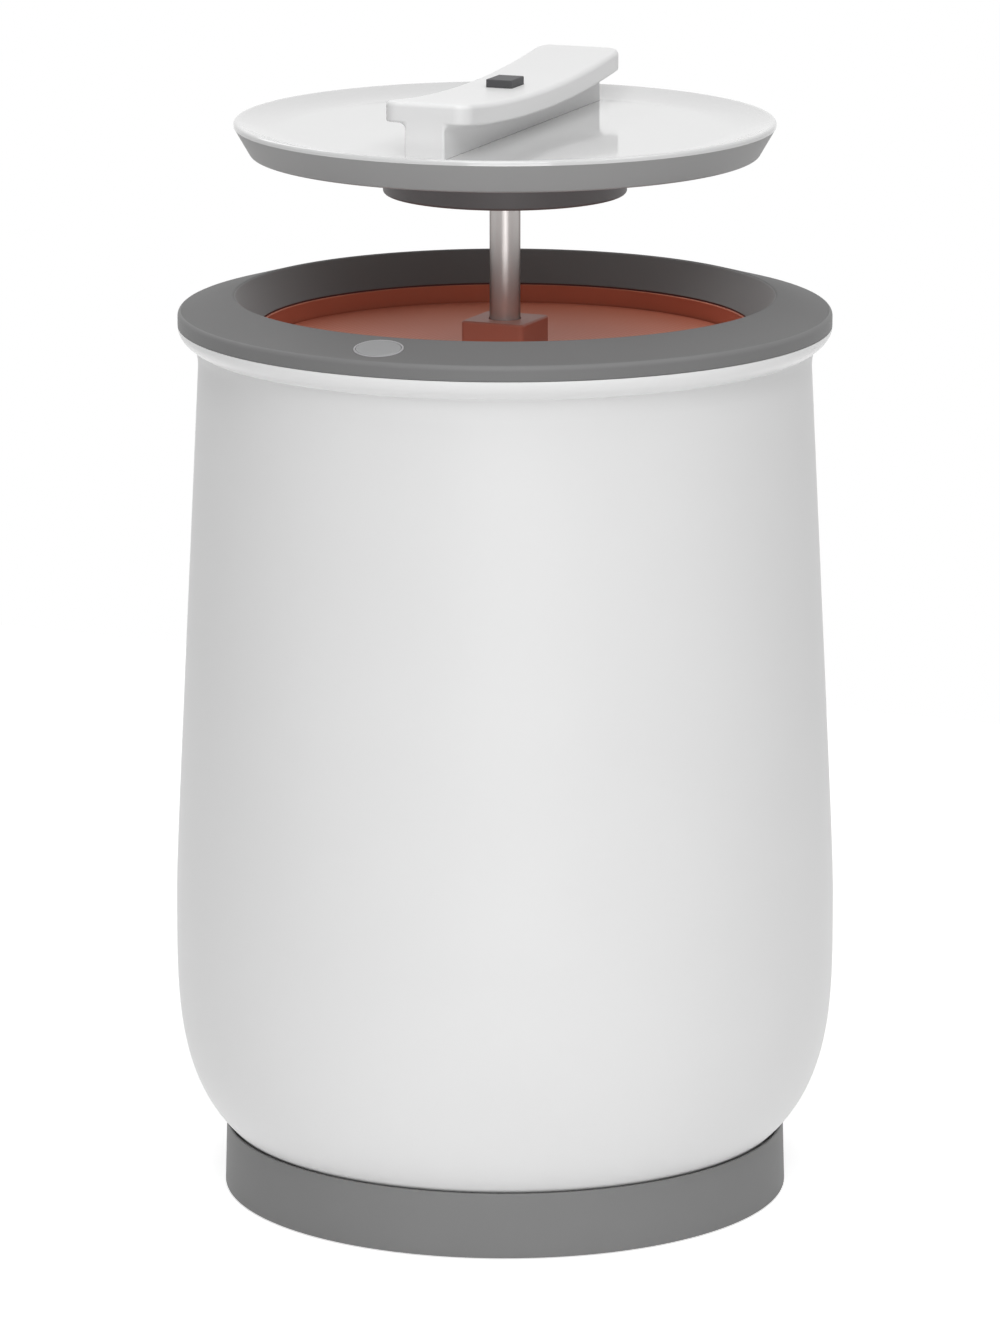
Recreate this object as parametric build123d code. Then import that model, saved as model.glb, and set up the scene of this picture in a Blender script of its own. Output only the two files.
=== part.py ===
from build123d import *
from math import atan2, cos, degrees, hypot, radians, sin
import os

# Towel warmer bucket: a heated metal liner in a plastic shell, with a lift-out lid.
# A telescopic post hangs from the lid's hub and carries the tray that lifts the towels.
# Millimetres.  Origin: centre of the base, on the floor.  +Z up, the power button towards -Y.
# The lid unit is modelled raised, with the post collapsed and the tray near the rim.

# ---- Overall sizes ----------------------------------------------------------------------
rim_radius = 170.0
neck_height = 450.9  # seam between shell and collar

# ---- Clearances -------------------------------------------------------------------------
running_gap = 0.3  # radial, between parts that slide or lift past each other
seat_gap = 0.2  # radial, between parts that stay together
thread_gap = 0.05  # radial, between a screw's shank and its pilot hole
hole_gap = 0.3  # radial, between a screw's shank and a clearance hole

# ---- Base -------------------------------------------------------------------------------
base_inset = 21.2  # the base ring's foot stands this far inside the rim's radius
base_draft = 1.0  # the base ring is this much smaller in radius at its top
base_top = 34.9
base_wall = 3.0
base_lip = 2.1  # width of the ring's top edge
base_lip_depth = 2.4
base_undercut = 0.4  # draft of the ring's inside, from ledge to lip
foot_proud = 0.6  # rubber feet stand this far below the base ring
foot_radius = 9.0
foot_inset = 30.8
foot_count = 4
foot_recess = 1.4  # depth of the plate's pocket for each foot
foot_rounding = 0.6
ledge_height = 20.0
ledge_thickness = 3.0
ledge_width = 19.0
plate_height = 3.0
plate_thickness = 3.0
standoff_radius = 3.0  # posts that carry the control board
vent_count = 24
vent_length = 20.0
vent_width = 3.0
vent_circle = 62.0
gland_bore_radius = 3.5
gland_neck_radius = 5.0
gland_flange_radius = 6.6
gland_lip = 2.2

# ---- Shell ------------------------------------------------------------------------------
shell_wall = 2.4
shell_foot_inset = 5.8  # inside the base ring's radius
shell_foot_sunk = 1.9  # below the base ring's top
shell_foot_angle = 39.7  # degrees above level, where the shell leaves the base ring
shell_foot_pull = 42.6  # length of the curve's handle there
belly_bulge = 3.4  # the belly's radius beyond the rim's
belly_height = 156.0
belly_pull_down = 47.0
belly_pull_up = 23.2
throat_drop = 10.9  # the narrowest place is this far below the neck
throat_inset = 1.6  # and this much smaller in radius
throat_pull = 200.0
throat_taper = 0.05  # radius gained per millimetre below the throat
rim_overhang = 8.8  # the rim's radius beyond the neck's
shell_flange_width = 15.5

# ---- Collar and rim, heights above the neck ---------------------------------------------
collar_rise = 11.1
collar_wall = 2.4
collar_step = 0.4  # a short upright edge above the seam
flare_low_rise = 2.6
flare_high_rise = 6.2
deck_rise = 8.1
deck_thickness = 3.0
spigot_depth = 8.5
rim_wall = 2.5
rim_seam = 0.3
rim_side_rise = 18.8
rim_rise = 26.85
rim_width = 29.4
rim_edge_rounding = 3.2
funnel_rise = 10.1
funnel_width = 12.6
rim_screw_count = 6
rim_screw_inset = 16.0
rim_boss_radius = 3.8
rim_boss_roof = 2.5  # left over the pilot hole

# ---- Liner and heating ------------------------------------------------------------------
liner_step = 0.5  # the liner's radius inside the funnel's lower edge
liner_wall = 1.2
liner_floor = 64.0
liner_corner = 10.0
lip_width = 7.3
band_thickness = 1.4
band_start = 31.0  # above the liner's floor
band_height = 240.0
band_split = 14.0
jacket_thickness = 6.4
jacket_below_deck = 27.0
stand_wall = 2.5
stand_seat_width = 8.5
stand_shelf_width = 14.0
stand_clearance = 4.0  # radial, between the stand's foot and the shell
floor_heater_thickness = 1.5
pad_thickness = 11.3
pad_hole_radius = 14.0
thermostat_radius = 8.0
thermostat_height = 6.0
thermostat_flange = 1.2  # the mounting flange's radius beyond the case
fuse_radius = 1.9
fuse_length = 9.0

# ---- Control board and leads ------------------------------------------------------------
board_height = 12.0
board_thickness = 1.6
board_width = 92.0
board_depth = 62.0
board_y = 46.0
terminal_x = -24.0
terminal_y = 24.0
lead_radius = 1.5
switch_lead_x = 6.0
lead_clearance = 1.0  # round a lead, where it passes a wall

# ---- Power button -----------------------------------------------------------------------
button_inset = 15.5  # from the rim's radius to the button's middle
button_long = 26.4  # outline ring, across, along the rim
button_short = 19.9  # outline ring, across, towards the middle
button_ring_width = 0.95
button_recess = 1.6
button_gap = 0.25
button_proud = 0.3  # its face above the rim's surface
switch_board_drop = 9.0  # board's top face below the rim's surface
switch_board_thickness = 1.2
switch_boss_radius = 2.2
switch_side = 6.2
switch_height = 3.4
switch_stem_depth = 1.4  # the key's stem reaches this far into the switch
key_stem_radius = 1.6
key_flange = 1.0
key_flange_gap = 0.4

# ---- Lid --------------------------------------------------------------------------------
lid_turn = 3.0  # degrees, the lid unit as it stands in the rim
lid_lift = 84.7  # height of the raised lid above its seat
lid_proud = 6.0  # the closed lid's edge stands this far above the rim
lid_edge_gap = 0.3
lid_seat_gap = 0.46
lid_lip = 2.6  # height of the top's rounded edge above the skirt
lid_lip_width = 2.4
lid_dish_depth = 4.6
dish_slope_width = 24.0  # the dish rises to the lip over this width
lid_spigot = 4.5
lid_wall = 2.5
skirt_wall = 2.2
skirt_height = 14.8
skirt_rounding = 1.8
hub_radius = 63.2
hub_depth = 20.3
hub_rounding = 1.6
hub_wall = 2.5
lid_screw_count = 6
lid_screw_inset = 22.85
lid_boss_radius = 4.0
lid_boss_roof = 1.5  # left over the pilot hole
under_lid_gap = 0.5
hub_screw_count = 3
hub_screw_inset = 16.0

# ---- Grip -------------------------------------------------------------------------------
grip_end_inset = 28.3
grip_width = 46.6
grip_thickness = 11.0
grip_corner = 8.0
grip_end_height = 24.3  # top of the grip's ends above the lid's edge
grip_saddle = 6.65  # the middle is this much lower
grip_top_rounding = 2.6
grip_under_rounding = 1.4
web_width = 21.2
web_blend = 4.0
grip_button_length = 18.6
grip_button_width = 14.2
grip_button_proud = 4.2
grip_button_height = 8.0
grip_button_travel = 3.0

# ---- Post and tray ----------------------------------------------------------------------
tube_radius = 8.0  # outermost tube
tube_wall = 0.8
tube_step = 1.3  # each tube is this much smaller in radius than the one around it
tube_stagger = 2.5  # each tube stands this much lower than the one around it
tube_length = 117.0
tube_overlap = 22.0  # length of each tube still inside the next when extended
post_foot = 6.5  # the innermost tube reaches this much further, into the tray's boss
post_cover = 14.1  # from the outermost tube's top to the grip's top
bush_length = 7.0
bush_lip = 1.0
bush_gap = 0.1
head_length = 5.0  # guide ring at the top of each moving tube
head_gap = 0.08
flange_radius = 26.0
flange_thickness = 3.0
sleeve_radius = 12.0
rod_radius = 1.2
lock_radius = 1.6
lock_flange = 1.5
lock_reach = 20.0
spring_radius = 3.3
spring_wire = 0.35
spring_turns = 5
spring_clearance = 1.2  # radial, from the coil's middle line to its pocket
tray_gap = 1.1  # radial, between tray and liner, closed by the wiper ring
tray_wall = 2.5
tray_skirt = 8.0
tray_groove = 1.9
tray_rib_count = 8
tray_rib_width = 2.0
tray_rib_depth = 5
tray_rib_turn = 22.5  # degrees, turns the ribs clear of the socket's corners
wiper_wall = 1.0
wiper_seat = 0.05  # the wiper's clearance in its groove
socket_side = 35.0
socket_height = 13.6
socket_corner = 2.5
socket_top_rounding = 1.2
socket_screw_inset = 4.5  # from the socket's side to a screw
tube_clearance = 0.5  # radial, where the tube passes through tray and socket
boss_radius = 14.0
boss_depth = 12.0

# ---- Screws: shank radius, head radius, head height -------------------------------------
base_screw = (1.8, 3.6, 2.2)
rim_screw = (1.5, 3.2, 2.0)
lid_screw = (1.5, 3.2, 1.6)
small_screw = (0.9, 1.9, 1.2)
screw_end_gap = 1.0  # between a screw's tip and the end of its pilot hole

# ---- Worked-out sizes -------------------------------------------------------------------
base_radius = rim_radius - base_inset
foot_circle = base_radius - foot_inset
belly_radius = rim_radius + belly_bulge
neck_radius = rim_radius - rim_overhang
throat_radius = neck_radius - throat_inset
throat_height = neck_height - throat_drop
shell_foot_radius = base_radius - shell_foot_inset
shell_foot_height = base_top - shell_foot_sunk
ledge_top = ledge_height + ledge_thickness
ledge_inner_radius = base_radius - base_wall - ledge_width
shell_flange_top = ledge_top + shell_wall
base_screw_circle = shell_foot_radius - shell_wall - 5.6
base_boss_radius = 4.4
base_boss_top = shell_flange_top + 9.0

collar_top = neck_height + collar_rise
deck_height = neck_height + deck_rise
rim_side_top = neck_height + rim_side_rise
rim_height = neck_height + rim_rise
rim_inner_radius = rim_radius - rim_width
rim_screw_circle = rim_radius - rim_screw_inset
rim_slope = (rim_height - rim_side_top) / rim_width
rim_angle = degrees(atan2(rim_height - rim_side_top, rim_width))
funnel_radius = rim_inner_radius - funnel_width
funnel_height = neck_height + funnel_rise
funnel_slope = funnel_width / (rim_height - funnel_height)

liner_radius = funnel_radius - liner_step
liner_outer = liner_radius + liner_wall
liner_underside = liner_floor - liner_wall
jacket_inner = liner_outer + seat_gap + band_thickness + seat_gap
jacket_outer = jacket_inner + jacket_thickness
stand_radius = liner_radius - liner_corner - 3.0
stand_inner = stand_radius - stand_wall
floor_heater_radius = stand_inner - 9.0
shelf_height = liner_underside - floor_heater_thickness - pad_thickness
lead_circle = jacket_outer + lead_radius + lead_clearance
heater_lead_places = ((terminal_x - 9, terminal_y), (terminal_x - 3, terminal_y))

lid_edge_top = rim_height + lid_proud + lid_lift
lid_radius = rim_inner_radius - lid_edge_gap
skirt_top = lid_edge_top - lid_lip
skirt_bottom = skirt_top - skirt_height
skirt_floor_top = skirt_bottom + skirt_wall
skirt_seat = funnel_radius + funnel_slope * (skirt_bottom - lid_lift - funnel_height)
skirt_bottom_radius = skirt_seat - lid_seat_gap
skirt_slope = (lid_radius - skirt_bottom_radius) / skirt_height
dish_centre = lid_edge_top - lid_dish_depth
dish_bore = tube_radius + running_gap
dish_edge_radius = lid_radius - lid_lip_width
dish_flat_radius = dish_edge_radius - dish_slope_width
dish_curve = (dish_slope_width**2 + lid_dish_depth**2) / (2 * lid_dish_depth)
hub_bottom = skirt_bottom - hub_depth
lid_screw_circle = lid_radius - lid_screw_inset
hub_screw_circle = hub_radius - hub_screw_inset

grip_length = 2 * (lid_radius - grip_end_inset)
grip_middle_top = lid_edge_top + grip_end_height - grip_saddle
grip_button_bottom = grip_middle_top + grip_button_proud - grip_button_height
grip_screw_offset = grip_length / 3
grip_screw_places = [Pos(0, grip_screw_offset, 0), Pos(0, -grip_screw_offset, 0)]

post_top = grip_middle_top - post_cover
post_travel = 3 * (tube_length - tube_overlap)
tray_height = post_top - 2 * tube_stagger - tube_length + 1.0
tray_radius = liner_radius - tray_gap
tray_underside = tray_height - tray_wall
boss_bottom = tray_underside - boss_depth

button_circle = rim_radius - button_inset
switch_post_x = button_long / 2 + 3.6
button_plane = Plane(
    origin=(0, -button_circle, rim_height - rim_slope * (button_circle - rim_inner_radius)),
    x_dir=(1, 0, 0),
    z_dir=(0, -sin(radians(rim_angle)), cos(radians(rim_angle))),
)

parts = {}


# ---- Shaping helpers --------------------------------------------------------------------
def turned(*corners):
    """A solid turned about Z.  Each corner is (radius, height) or (radius, height, rounding)."""
    points = [corner[:2] for corner in corners]
    roundings = [corner[2] if len(corner) > 2 else 0 for corner in corners]
    if any(roundings):
        outline = FilletPolyline(*points, radius=roundings, close=True)
    else:
        outline = Polyline(*points, close=True)
    return revolve(Plane.XZ * make_face(outline), Axis.Z)


def ring(inner, outer, bottom, top):
    """A plain ring about Z."""
    return turned((inner, bottom), (outer, bottom), (outer, top), (inner, top))


def disc(radius, bottom, top, x=0, y=0):
    """A plain round disc or pin standing on its bottom."""
    return Pos(x, y, bottom) * Cylinder(radius, top - bottom, align=(Align.CENTER, Align.CENTER, Align.MIN))


def block(width, depth, bottom, top, x=0, y=0):
    """A plain box standing on its bottom."""
    return Pos(x, y, bottom) * Box(
        width, depth, top - bottom, align=(Align.CENTER, Align.CENTER, Align.MIN)
    )


def around(radius, count, start=0):
    """Places on a circle about Z, each turned to face outwards."""
    return [Rot(0, 0, start + i * 360 / count) * Pos(radius, 0, 0) for i in range(count)]


def copies(places, shape):
    """One node of separate identical solids."""
    return Compound([solid for place in places for solid in (place * shape).solids()])


def screw(size, seat, tip, head_up=False):
    """A pan-head screw on Z: its head bears on seat, its shank reaches tip."""
    shank, head, height = size
    rise = height if head_up else -height
    bottom, top = sorted((seat, seat + rise))
    low, high = sorted((seat, tip))
    head_disc = fillet(disc(head, bottom, top).edges().filter_by(Plane.XY).group_by(Axis.Z)[
        -1 if head_up else 0], height * 0.4)
    return head_disc + disc(shank, low, high)


def meeting(p, q, r, gap):
    """The corner of a line kept gap to the left of p-q-r."""
    first = hypot(q[0] - p[0], q[1] - p[1])
    second = hypot(r[0] - q[0], r[1] - q[1])
    a = ((q[0] - p[0]) / first, (q[1] - p[1]) / first)
    b = ((r[0] - q[0]) / second, (r[1] - q[1]) / second)
    turn = 1 + a[0] * b[0] + a[1] * b[1]
    return (q[0] - gap * (a[1] + b[1]) / turn, q[1] + gap * (a[0] + b[0]) / turn)


def end_of(p, q, gap):
    """The point gap to the left of p, seen along p-q."""
    length = hypot(q[0] - p[0], q[1] - p[1])
    return (p[0] - gap * (q[1] - p[1]) / length, p[1] + gap * (q[0] - p[0]) / length)


def wall_of(line, roundings, wall):
    """A turned wall of even thickness, on the left of an open line."""
    inner = [end_of(line[0], line[1], wall)]
    inner += [meeting(*line[i - 1 : i + 2], wall) for i in range(1, len(line) - 1)]
    last = end_of(line[-1], line[-2], -wall)
    inner.append(last)
    inner_roundings = [max(r - wall, 0.3) if r else 0 for r in roundings]
    corners = [(*p, r) for p, r in zip(line, roundings)]
    corners += [(*p, r) for p, r in zip(reversed(inner), reversed(inner_roundings))]
    return turned(*corners)


def lead(points, radius, bend):
    """An insulated wire along straight runs joined by arcs."""
    path = FilletPolyline(*points, radius=bend)
    start = Plane(origin=path @ 0, z_dir=path % 0)
    return sweep(start * Circle(radius), path=path)


# ---- Base -------------------------------------------------------------------------------
def make_base():
    inner_low = base_radius - base_wall
    inner_high = inner_low - base_draft
    base_ring = turned(
        (inner_low, foot_proud),
        (base_radius, foot_proud, 0.6),
        (base_radius - base_draft, base_top, 0.5),
        (inner_high + base_lip, base_top),
        (inner_high, base_top - base_lip_depth),
        (inner_high, ledge_top),
        (ledge_inner_radius, ledge_top),
        (ledge_inner_radius, ledge_height),
        (inner_high + base_undercut, ledge_height),
    )
    screw_hole = base_screw[0] + hole_gap
    for place in around(base_screw_circle, 4, 45):
        base_ring -= place * disc(screw_hole, ledge_height - 1, ledge_top + 1)
    gland_height = (plate_height + plate_thickness + ledge_height) / 2
    gland_axis = Pos(0, 0, gland_height) * Rot(-90, 0, 0)
    base_ring -= gland_axis * disc(gland_neck_radius + seat_gap, inner_low - 12, base_radius + 5)
    parts["base_ring"] = base_ring

    # The grommet's neck passes the ring's wall between two lips.
    wall_out = base_radius - 0.2
    wall_in = inner_high + 0.2
    neck = disc(gland_neck_radius, wall_in - 3.5, wall_out + gland_lip)
    lip_outside = disc(gland_flange_radius, wall_out + 0.1, wall_out + gland_lip)
    lip_inside = disc(gland_flange_radius, wall_in - 2.6, wall_in - 0.9)
    gland = neck + fillet(lip_outside.edges().group_by(Axis.Z)[-1], 0.8) + lip_inside
    gland -= disc(gland_bore_radius, wall_in - 10, base_radius + 10)
    parts["cord_gland"] = gland_axis * gland

    plate_top = plate_height + plate_thickness
    plate = disc(inner_low - 0.6, plate_height, plate_top)
    for place in around(base_screw_circle, 4, 45):
        plate += place * disc(base_boss_radius, plate_top, ledge_height)
        plate -= place * disc(screw_hole, plate_height - 1, ledge_height + 1)
        plate -= place * disc(base_screw[1] + hole_gap, plate_height - 1, plate_height + base_screw[2])
    for place in around(foot_circle, foot_count):
        plate -= place * disc(foot_radius + seat_gap, plate_height - 1, plate_height + foot_recess)
    slot = extrude(SlotOverall(vent_length, vent_width), plate_thickness + 2)
    for place in around(vent_circle, vent_count):
        plate -= place * Pos(0, 0, plate_height - 1) * slot
    for x, y in board_corners():
        plate += disc(standoff_radius, plate_top, board_height, x, y)
        plate -= disc(small_screw[0] + thread_gap, plate_top + 1, board_height + 1, x, y)
    parts["base_plate"] = plate

    foot = disc(foot_radius, 0, plate_height + foot_recess)
    foot = fillet(foot.edges().group_by(Axis.Z)[0], foot_rounding)
    parts["rubber_feet"] = copies(around(foot_circle, foot_count), foot)
    parts["base_screws"] = copies(
        around(base_screw_circle, 4, 45),
        screw(base_screw, plate_height + base_screw[2], base_boss_top - 1.0),
    )


# ---- Shell ------------------------------------------------------------------------------
def shell_curve(wall):
    """Side of the shell from foot to neck, moved inwards by wall."""
    rise = radians(shell_foot_angle)
    foot = (shell_foot_radius - wall * sin(rise), shell_foot_height + wall * cos(rise))
    belly = (belly_radius - wall, belly_height)
    throat = (throat_radius - wall, throat_height)
    neck = (neck_radius - wall, neck_height)
    lower = Bezier(
        foot,
        (foot[0] + shell_foot_pull * cos(rise), foot[1] + shell_foot_pull * sin(rise)),
        (belly[0], belly[1] - belly_pull_down),
        belly,
    )
    upper = Bezier(
        belly,
        (belly[0], belly[1] + belly_pull_up),
        (throat[0] + throat_pull * throat_taper, throat[1] - throat_pull),
        throat,
    )
    third = throat_drop / 3
    lip = Bezier(
        throat,
        (throat[0] - third * throat_taper, throat[1] + third),
        (neck[0] - throat_inset * 0.75, neck[1] - third),
        neck,
    )
    return foot, lower.edges() + upper.edges() + lip.edges(), neck


def make_shell():
    outer_foot, outer_side, outer_neck = shell_curve(0)
    inner_foot, inner_side, inner_neck = shell_curve(shell_wall)
    flange_inner = shell_foot_radius - shell_flange_width
    foot_line = Polyline(
        inner_foot,
        (shell_foot_radius - shell_wall, shell_flange_top),
        (flange_inner, shell_flange_top),
        (flange_inner, ledge_top),
        (shell_foot_radius, ledge_top),
        outer_foot,
    )
    neck_line = Line(outer_neck, inner_neck)
    outline = Wire(foot_line.edges() + outer_side + neck_line.edges() + inner_side)
    shell = revolve(Plane.XZ * make_face(outline), Axis.Z)
    for place in around(base_screw_circle, 4, 45):
        shell += place * disc(base_boss_radius, shell_flange_top, base_boss_top)
        shell -= place * disc(base_screw[0] + thread_gap, ledge_top - 1, base_boss_top - 0.8)
    parts["outer_shell"] = shell


# ---- Collar and rim ---------------------------------------------------------------------
def rim_surface(radius):
    """Height of the rim's sloping top at a radius."""
    return rim_height - rim_slope * (radius - rim_inner_radius)


def make_collar():
    deck_bottom = deck_height - deck_thickness
    spigot_outer = throat_radius - shell_wall - seat_gap
    spigot_inner = spigot_outer - collar_wall
    flare_curve = Bezier(
        (neck_radius, neck_height + collar_step),
        (neck_radius + rim_overhang / 2, neck_height + flare_low_rise),
        (rim_radius, neck_height + flare_high_rise),
        (rim_radius, collar_top),
    )
    rest = Polyline(
        (rim_radius, collar_top),
        (rim_radius - collar_wall, collar_top),
        (rim_radius - collar_wall, deck_height),
        (liner_outer + 1.3, deck_height),
        (liner_outer + 1.3, deck_bottom),
        (neck_radius + rim_overhang / 3, deck_bottom),
        (neck_radius - 1.2, neck_height + collar_wall + collar_step),
        (spigot_inner, neck_height + collar_wall + collar_step),
        (spigot_inner, neck_height - spigot_depth),
        (spigot_outer, neck_height - spigot_depth),
        (spigot_outer, neck_height),
        (neck_radius, neck_height),
        (neck_radius, neck_height + collar_step),
    )
    collar = revolve(Plane.XZ * make_face(Wire(flare_curve.edges() + rest.edges())), Axis.Z)
    for place in around(rim_screw_circle, rim_screw_count):
        collar -= place * disc(rim_screw[0] + hole_gap, deck_bottom - 1, deck_height + 1)
    collar -= disc(
        lead_radius + lead_clearance, deck_bottom - 1, deck_height + 1, switch_lead_x, -lead_circle
    )
    parts["top_collar"] = collar


def make_rim():
    line = [
        (funnel_radius, funnel_height),
        (rim_inner_radius, rim_height),
        (rim_radius, rim_side_top),
        (rim_radius, collar_top + rim_seam),
    ]
    rim = wall_of(line[::-1], [0, rim_edge_rounding, 1.0, 0], rim_wall)
    rim -= ring(liner_radius - 5, rim_inner_radius, deck_height - 5, funnel_height)
    boss_top = rim_surface(rim_screw_circle) - rim_wall / 2
    for place in around(rim_screw_circle, rim_screw_count):
        rim += place * disc(rim_boss_radius, deck_height, boss_top)
        rim -= place * disc(rim_screw[0] + thread_gap, deck_height - 1, boss_top - rim_boss_roof)

    long, short = button_long / 2, button_short / 2
    through = extrude(Ellipse(long - button_ring_width, short - button_ring_width), rim_wall * 4, both=True)
    recess = extrude(Ellipse(long + seat_gap / 2, short + seat_gap / 2), rim_wall * 4)
    rim -= button_plane * through
    rim -= button_plane * Pos(0, 0, -button_recess) * recess
    for x in (-switch_post_x, switch_post_x):
        rim += button_plane * disc(switch_boss_radius, -switch_board_drop, -rim_wall + 0.6, x)
        rim -= button_plane * disc(small_screw[0] + thread_gap, -switch_board_drop - 1, -rim_wall - 0.6, x)
    parts["rim_ring"] = rim

    deck_bottom = deck_height - deck_thickness
    parts["rim_screws"] = copies(
        around(rim_screw_circle, rim_screw_count),
        screw(rim_screw, deck_bottom, boss_top - rim_boss_roof - screw_end_gap),
    )
    lip_top = deck_height + liner_wall
    parts["liner_gasket"] = ring(funnel_radius + 0.6, funnel_radius + 2.8, lip_top, funnel_height)

    outline = Ellipse(long, short) - Ellipse(long - button_ring_width, short - button_ring_width)
    light_ring = button_plane * Pos(0, 0, -button_recess) * extrude(outline, button_recess + 0.1)
    parts["button_outline_ring"] = light_ring


# ---- Power button and its switch --------------------------------------------------------
def make_power_button():
    inset = button_ring_width + button_gap
    flange_top = -rim_wall - key_flange_gap
    flange_bottom = flange_top - key_flange
    cap_shape = Ellipse(button_long / 2 - inset, button_short / 2 - inset)
    cap = Pos(0, 0, flange_top) * extrude(cap_shape, button_proud - flange_top)
    cap = fillet(cap.edges().group_by(Axis.Z)[-1], 0.5)
    flange_shape = Ellipse(button_long / 2, button_short / 2)
    flange = Pos(0, 0, flange_bottom) * extrude(flange_shape, key_flange)
    switch_top = -switch_board_drop + switch_height
    stem = disc(key_stem_radius, switch_top - switch_stem_depth, flange_bottom)
    parts["power_button"] = button_plane * (cap + flange + stem)

    board_bottom = -switch_board_drop - switch_board_thickness
    board = block(2 * switch_post_x + 7, 14, board_bottom, -switch_board_drop)
    for x in (-switch_post_x, switch_post_x):
        board -= disc(small_screw[0] + hole_gap, board_bottom - 1, -switch_board_drop + 1, x)
    parts["switch_board"] = button_plane * board
    switch = block(switch_side, switch_side, -switch_board_drop, switch_top)
    switch -= disc(1.75, switch_top - 2.6, switch_top + 1)
    parts["tact_switch"] = button_plane * fillet(switch.edges().filter_by(Axis.Z), 0.4)
    parts["switch_board_screws"] = button_plane * copies(
        [Pos(-switch_post_x, 0, 0), Pos(switch_post_x, 0, 0)],
        screw(small_screw, board_bottom, -rim_wall - 1.2),
    )


# ---- Liner and heating ------------------------------------------------------------------
def make_liner():
    outer_corner = liner_corner + liner_wall
    parts["inner_liner"] = turned(
        (0, liner_underside),
        (liner_outer, liner_underside, outer_corner),
        (liner_outer, deck_height),
        (liner_outer + lip_width, deck_height),
        (liner_outer + lip_width, deck_height + liner_wall),
        (liner_radius, deck_height + liner_wall, 0.5),
        (liner_radius, liner_floor, liner_corner),
        (0, liner_floor),
    )

    band_inner = liner_outer + seat_gap
    band_bottom = liner_floor + band_start
    band_top = band_bottom + band_height
    band = ring(band_inner, band_inner + band_thickness, band_bottom, band_top)
    band -= block(band_split, 20, band_bottom - 1, band_top + 1, 0, band_inner)
    parts["heater_band"] = band
    jacket_bottom = base_boss_top + seat_gap
    jacket_top = deck_height - jacket_below_deck
    parts["insulation_jacket"] = ring(jacket_inner, jacket_outer, jacket_bottom, jacket_top)

    seat_inner = stand_radius - stand_seat_width
    shelf_inner = stand_inner - stand_shelf_width
    foot_outer = shell_foot_radius - shell_wall - stand_clearance
    stand = turned(
        (stand_inner, shell_flange_top),
        (foot_outer, shell_flange_top),
        (foot_outer, shell_flange_top + stand_wall),
        (stand_radius, shell_flange_top + stand_wall),
        (stand_radius, liner_underside),
        (seat_inner, liner_underside),
        (seat_inner, liner_underside - stand_wall),
        (stand_inner, liner_underside - stand_wall),
        (stand_inner, shelf_height),
        (shelf_inner, shelf_height),
        (shelf_inner, shelf_height - stand_wall),
        (stand_inner, shelf_height - stand_wall),
    )
    notch = base_boss_radius + 0.4
    for place in around(base_screw_circle, 4, 45):
        stand -= place * disc(notch, shell_flange_top - 1, shell_flange_top + 5)
        stand -= place * block(8, 2 * notch, shell_flange_top - 1, shell_flange_top + 5, 4)
    window_bottom = shell_flange_top + stand_wall + 1.5
    window_top = shelf_height - stand_wall - 1.5
    for place in around(stand_radius, 4):
        stand -= place * block(20, 32, window_bottom, window_top)
    parts["liner_stand"] = stand

    heater_bottom = liner_underside - floor_heater_thickness
    parts["floor_heater"] = ring(pad_hole_radius, floor_heater_radius, heater_bottom, liner_underside)
    pad = ring(pad_hole_radius, floor_heater_radius + 1.5, shelf_height, heater_bottom)
    for x, y in heater_lead_places:
        pad -= disc(lead_radius + 0.8, shelf_height - 1, heater_bottom + 1, x, y)
    parts["insulation_pad"] = pad

    cup_bottom = liner_underside - thermostat_height
    thermostat = disc(thermostat_radius, cup_bottom, liner_underside)
    thermostat += disc(thermostat_radius + thermostat_flange, liner_underside - 3.4, liner_underside - 2.2)
    for y in (-3.5, 3.5):
        thermostat += block(6.3, 0.8, cup_bottom - 7, cup_bottom, 0, y)
    parts["thermostat"] = thermostat
    fuse_x = thermostat_radius + thermostat_flange + fuse_radius + 0.1
    clip_top = liner_underside - 2 * fuse_radius
    thermostat += block(9.0, 5.0, clip_top - 1.0, clip_top, thermostat_radius + 1.0)
    fuse = Pos(fuse_x, 0, liner_underside - fuse_radius) * Rot(90, 0, 0) * Cylinder(fuse_radius, fuse_length)
    parts["thermal_fuse"] = fuse
    # A bracket bonded under the pad presses the thermostat against the liner.
    bracket = disc(pad_hole_radius + 8, shelf_height - 1.5, shelf_height)
    bracket += ring(6.2, thermostat_radius, shelf_height, cup_bottom)
    bracket -= block(8.5, 9.5, shelf_height - 2, shelf_height + 1)
    parts["sensor_bracket"] = bracket


# ---- Control board and leads ------------------------------------------------------------
def board_corners():
    """Standoff places, 5 in from the board's corners."""
    x, y = board_width / 2 - 5, board_depth / 2 - 5
    return [(i * x, board_y + j * y) for i in (-1, 1) for j in (-1, 1)]


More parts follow.
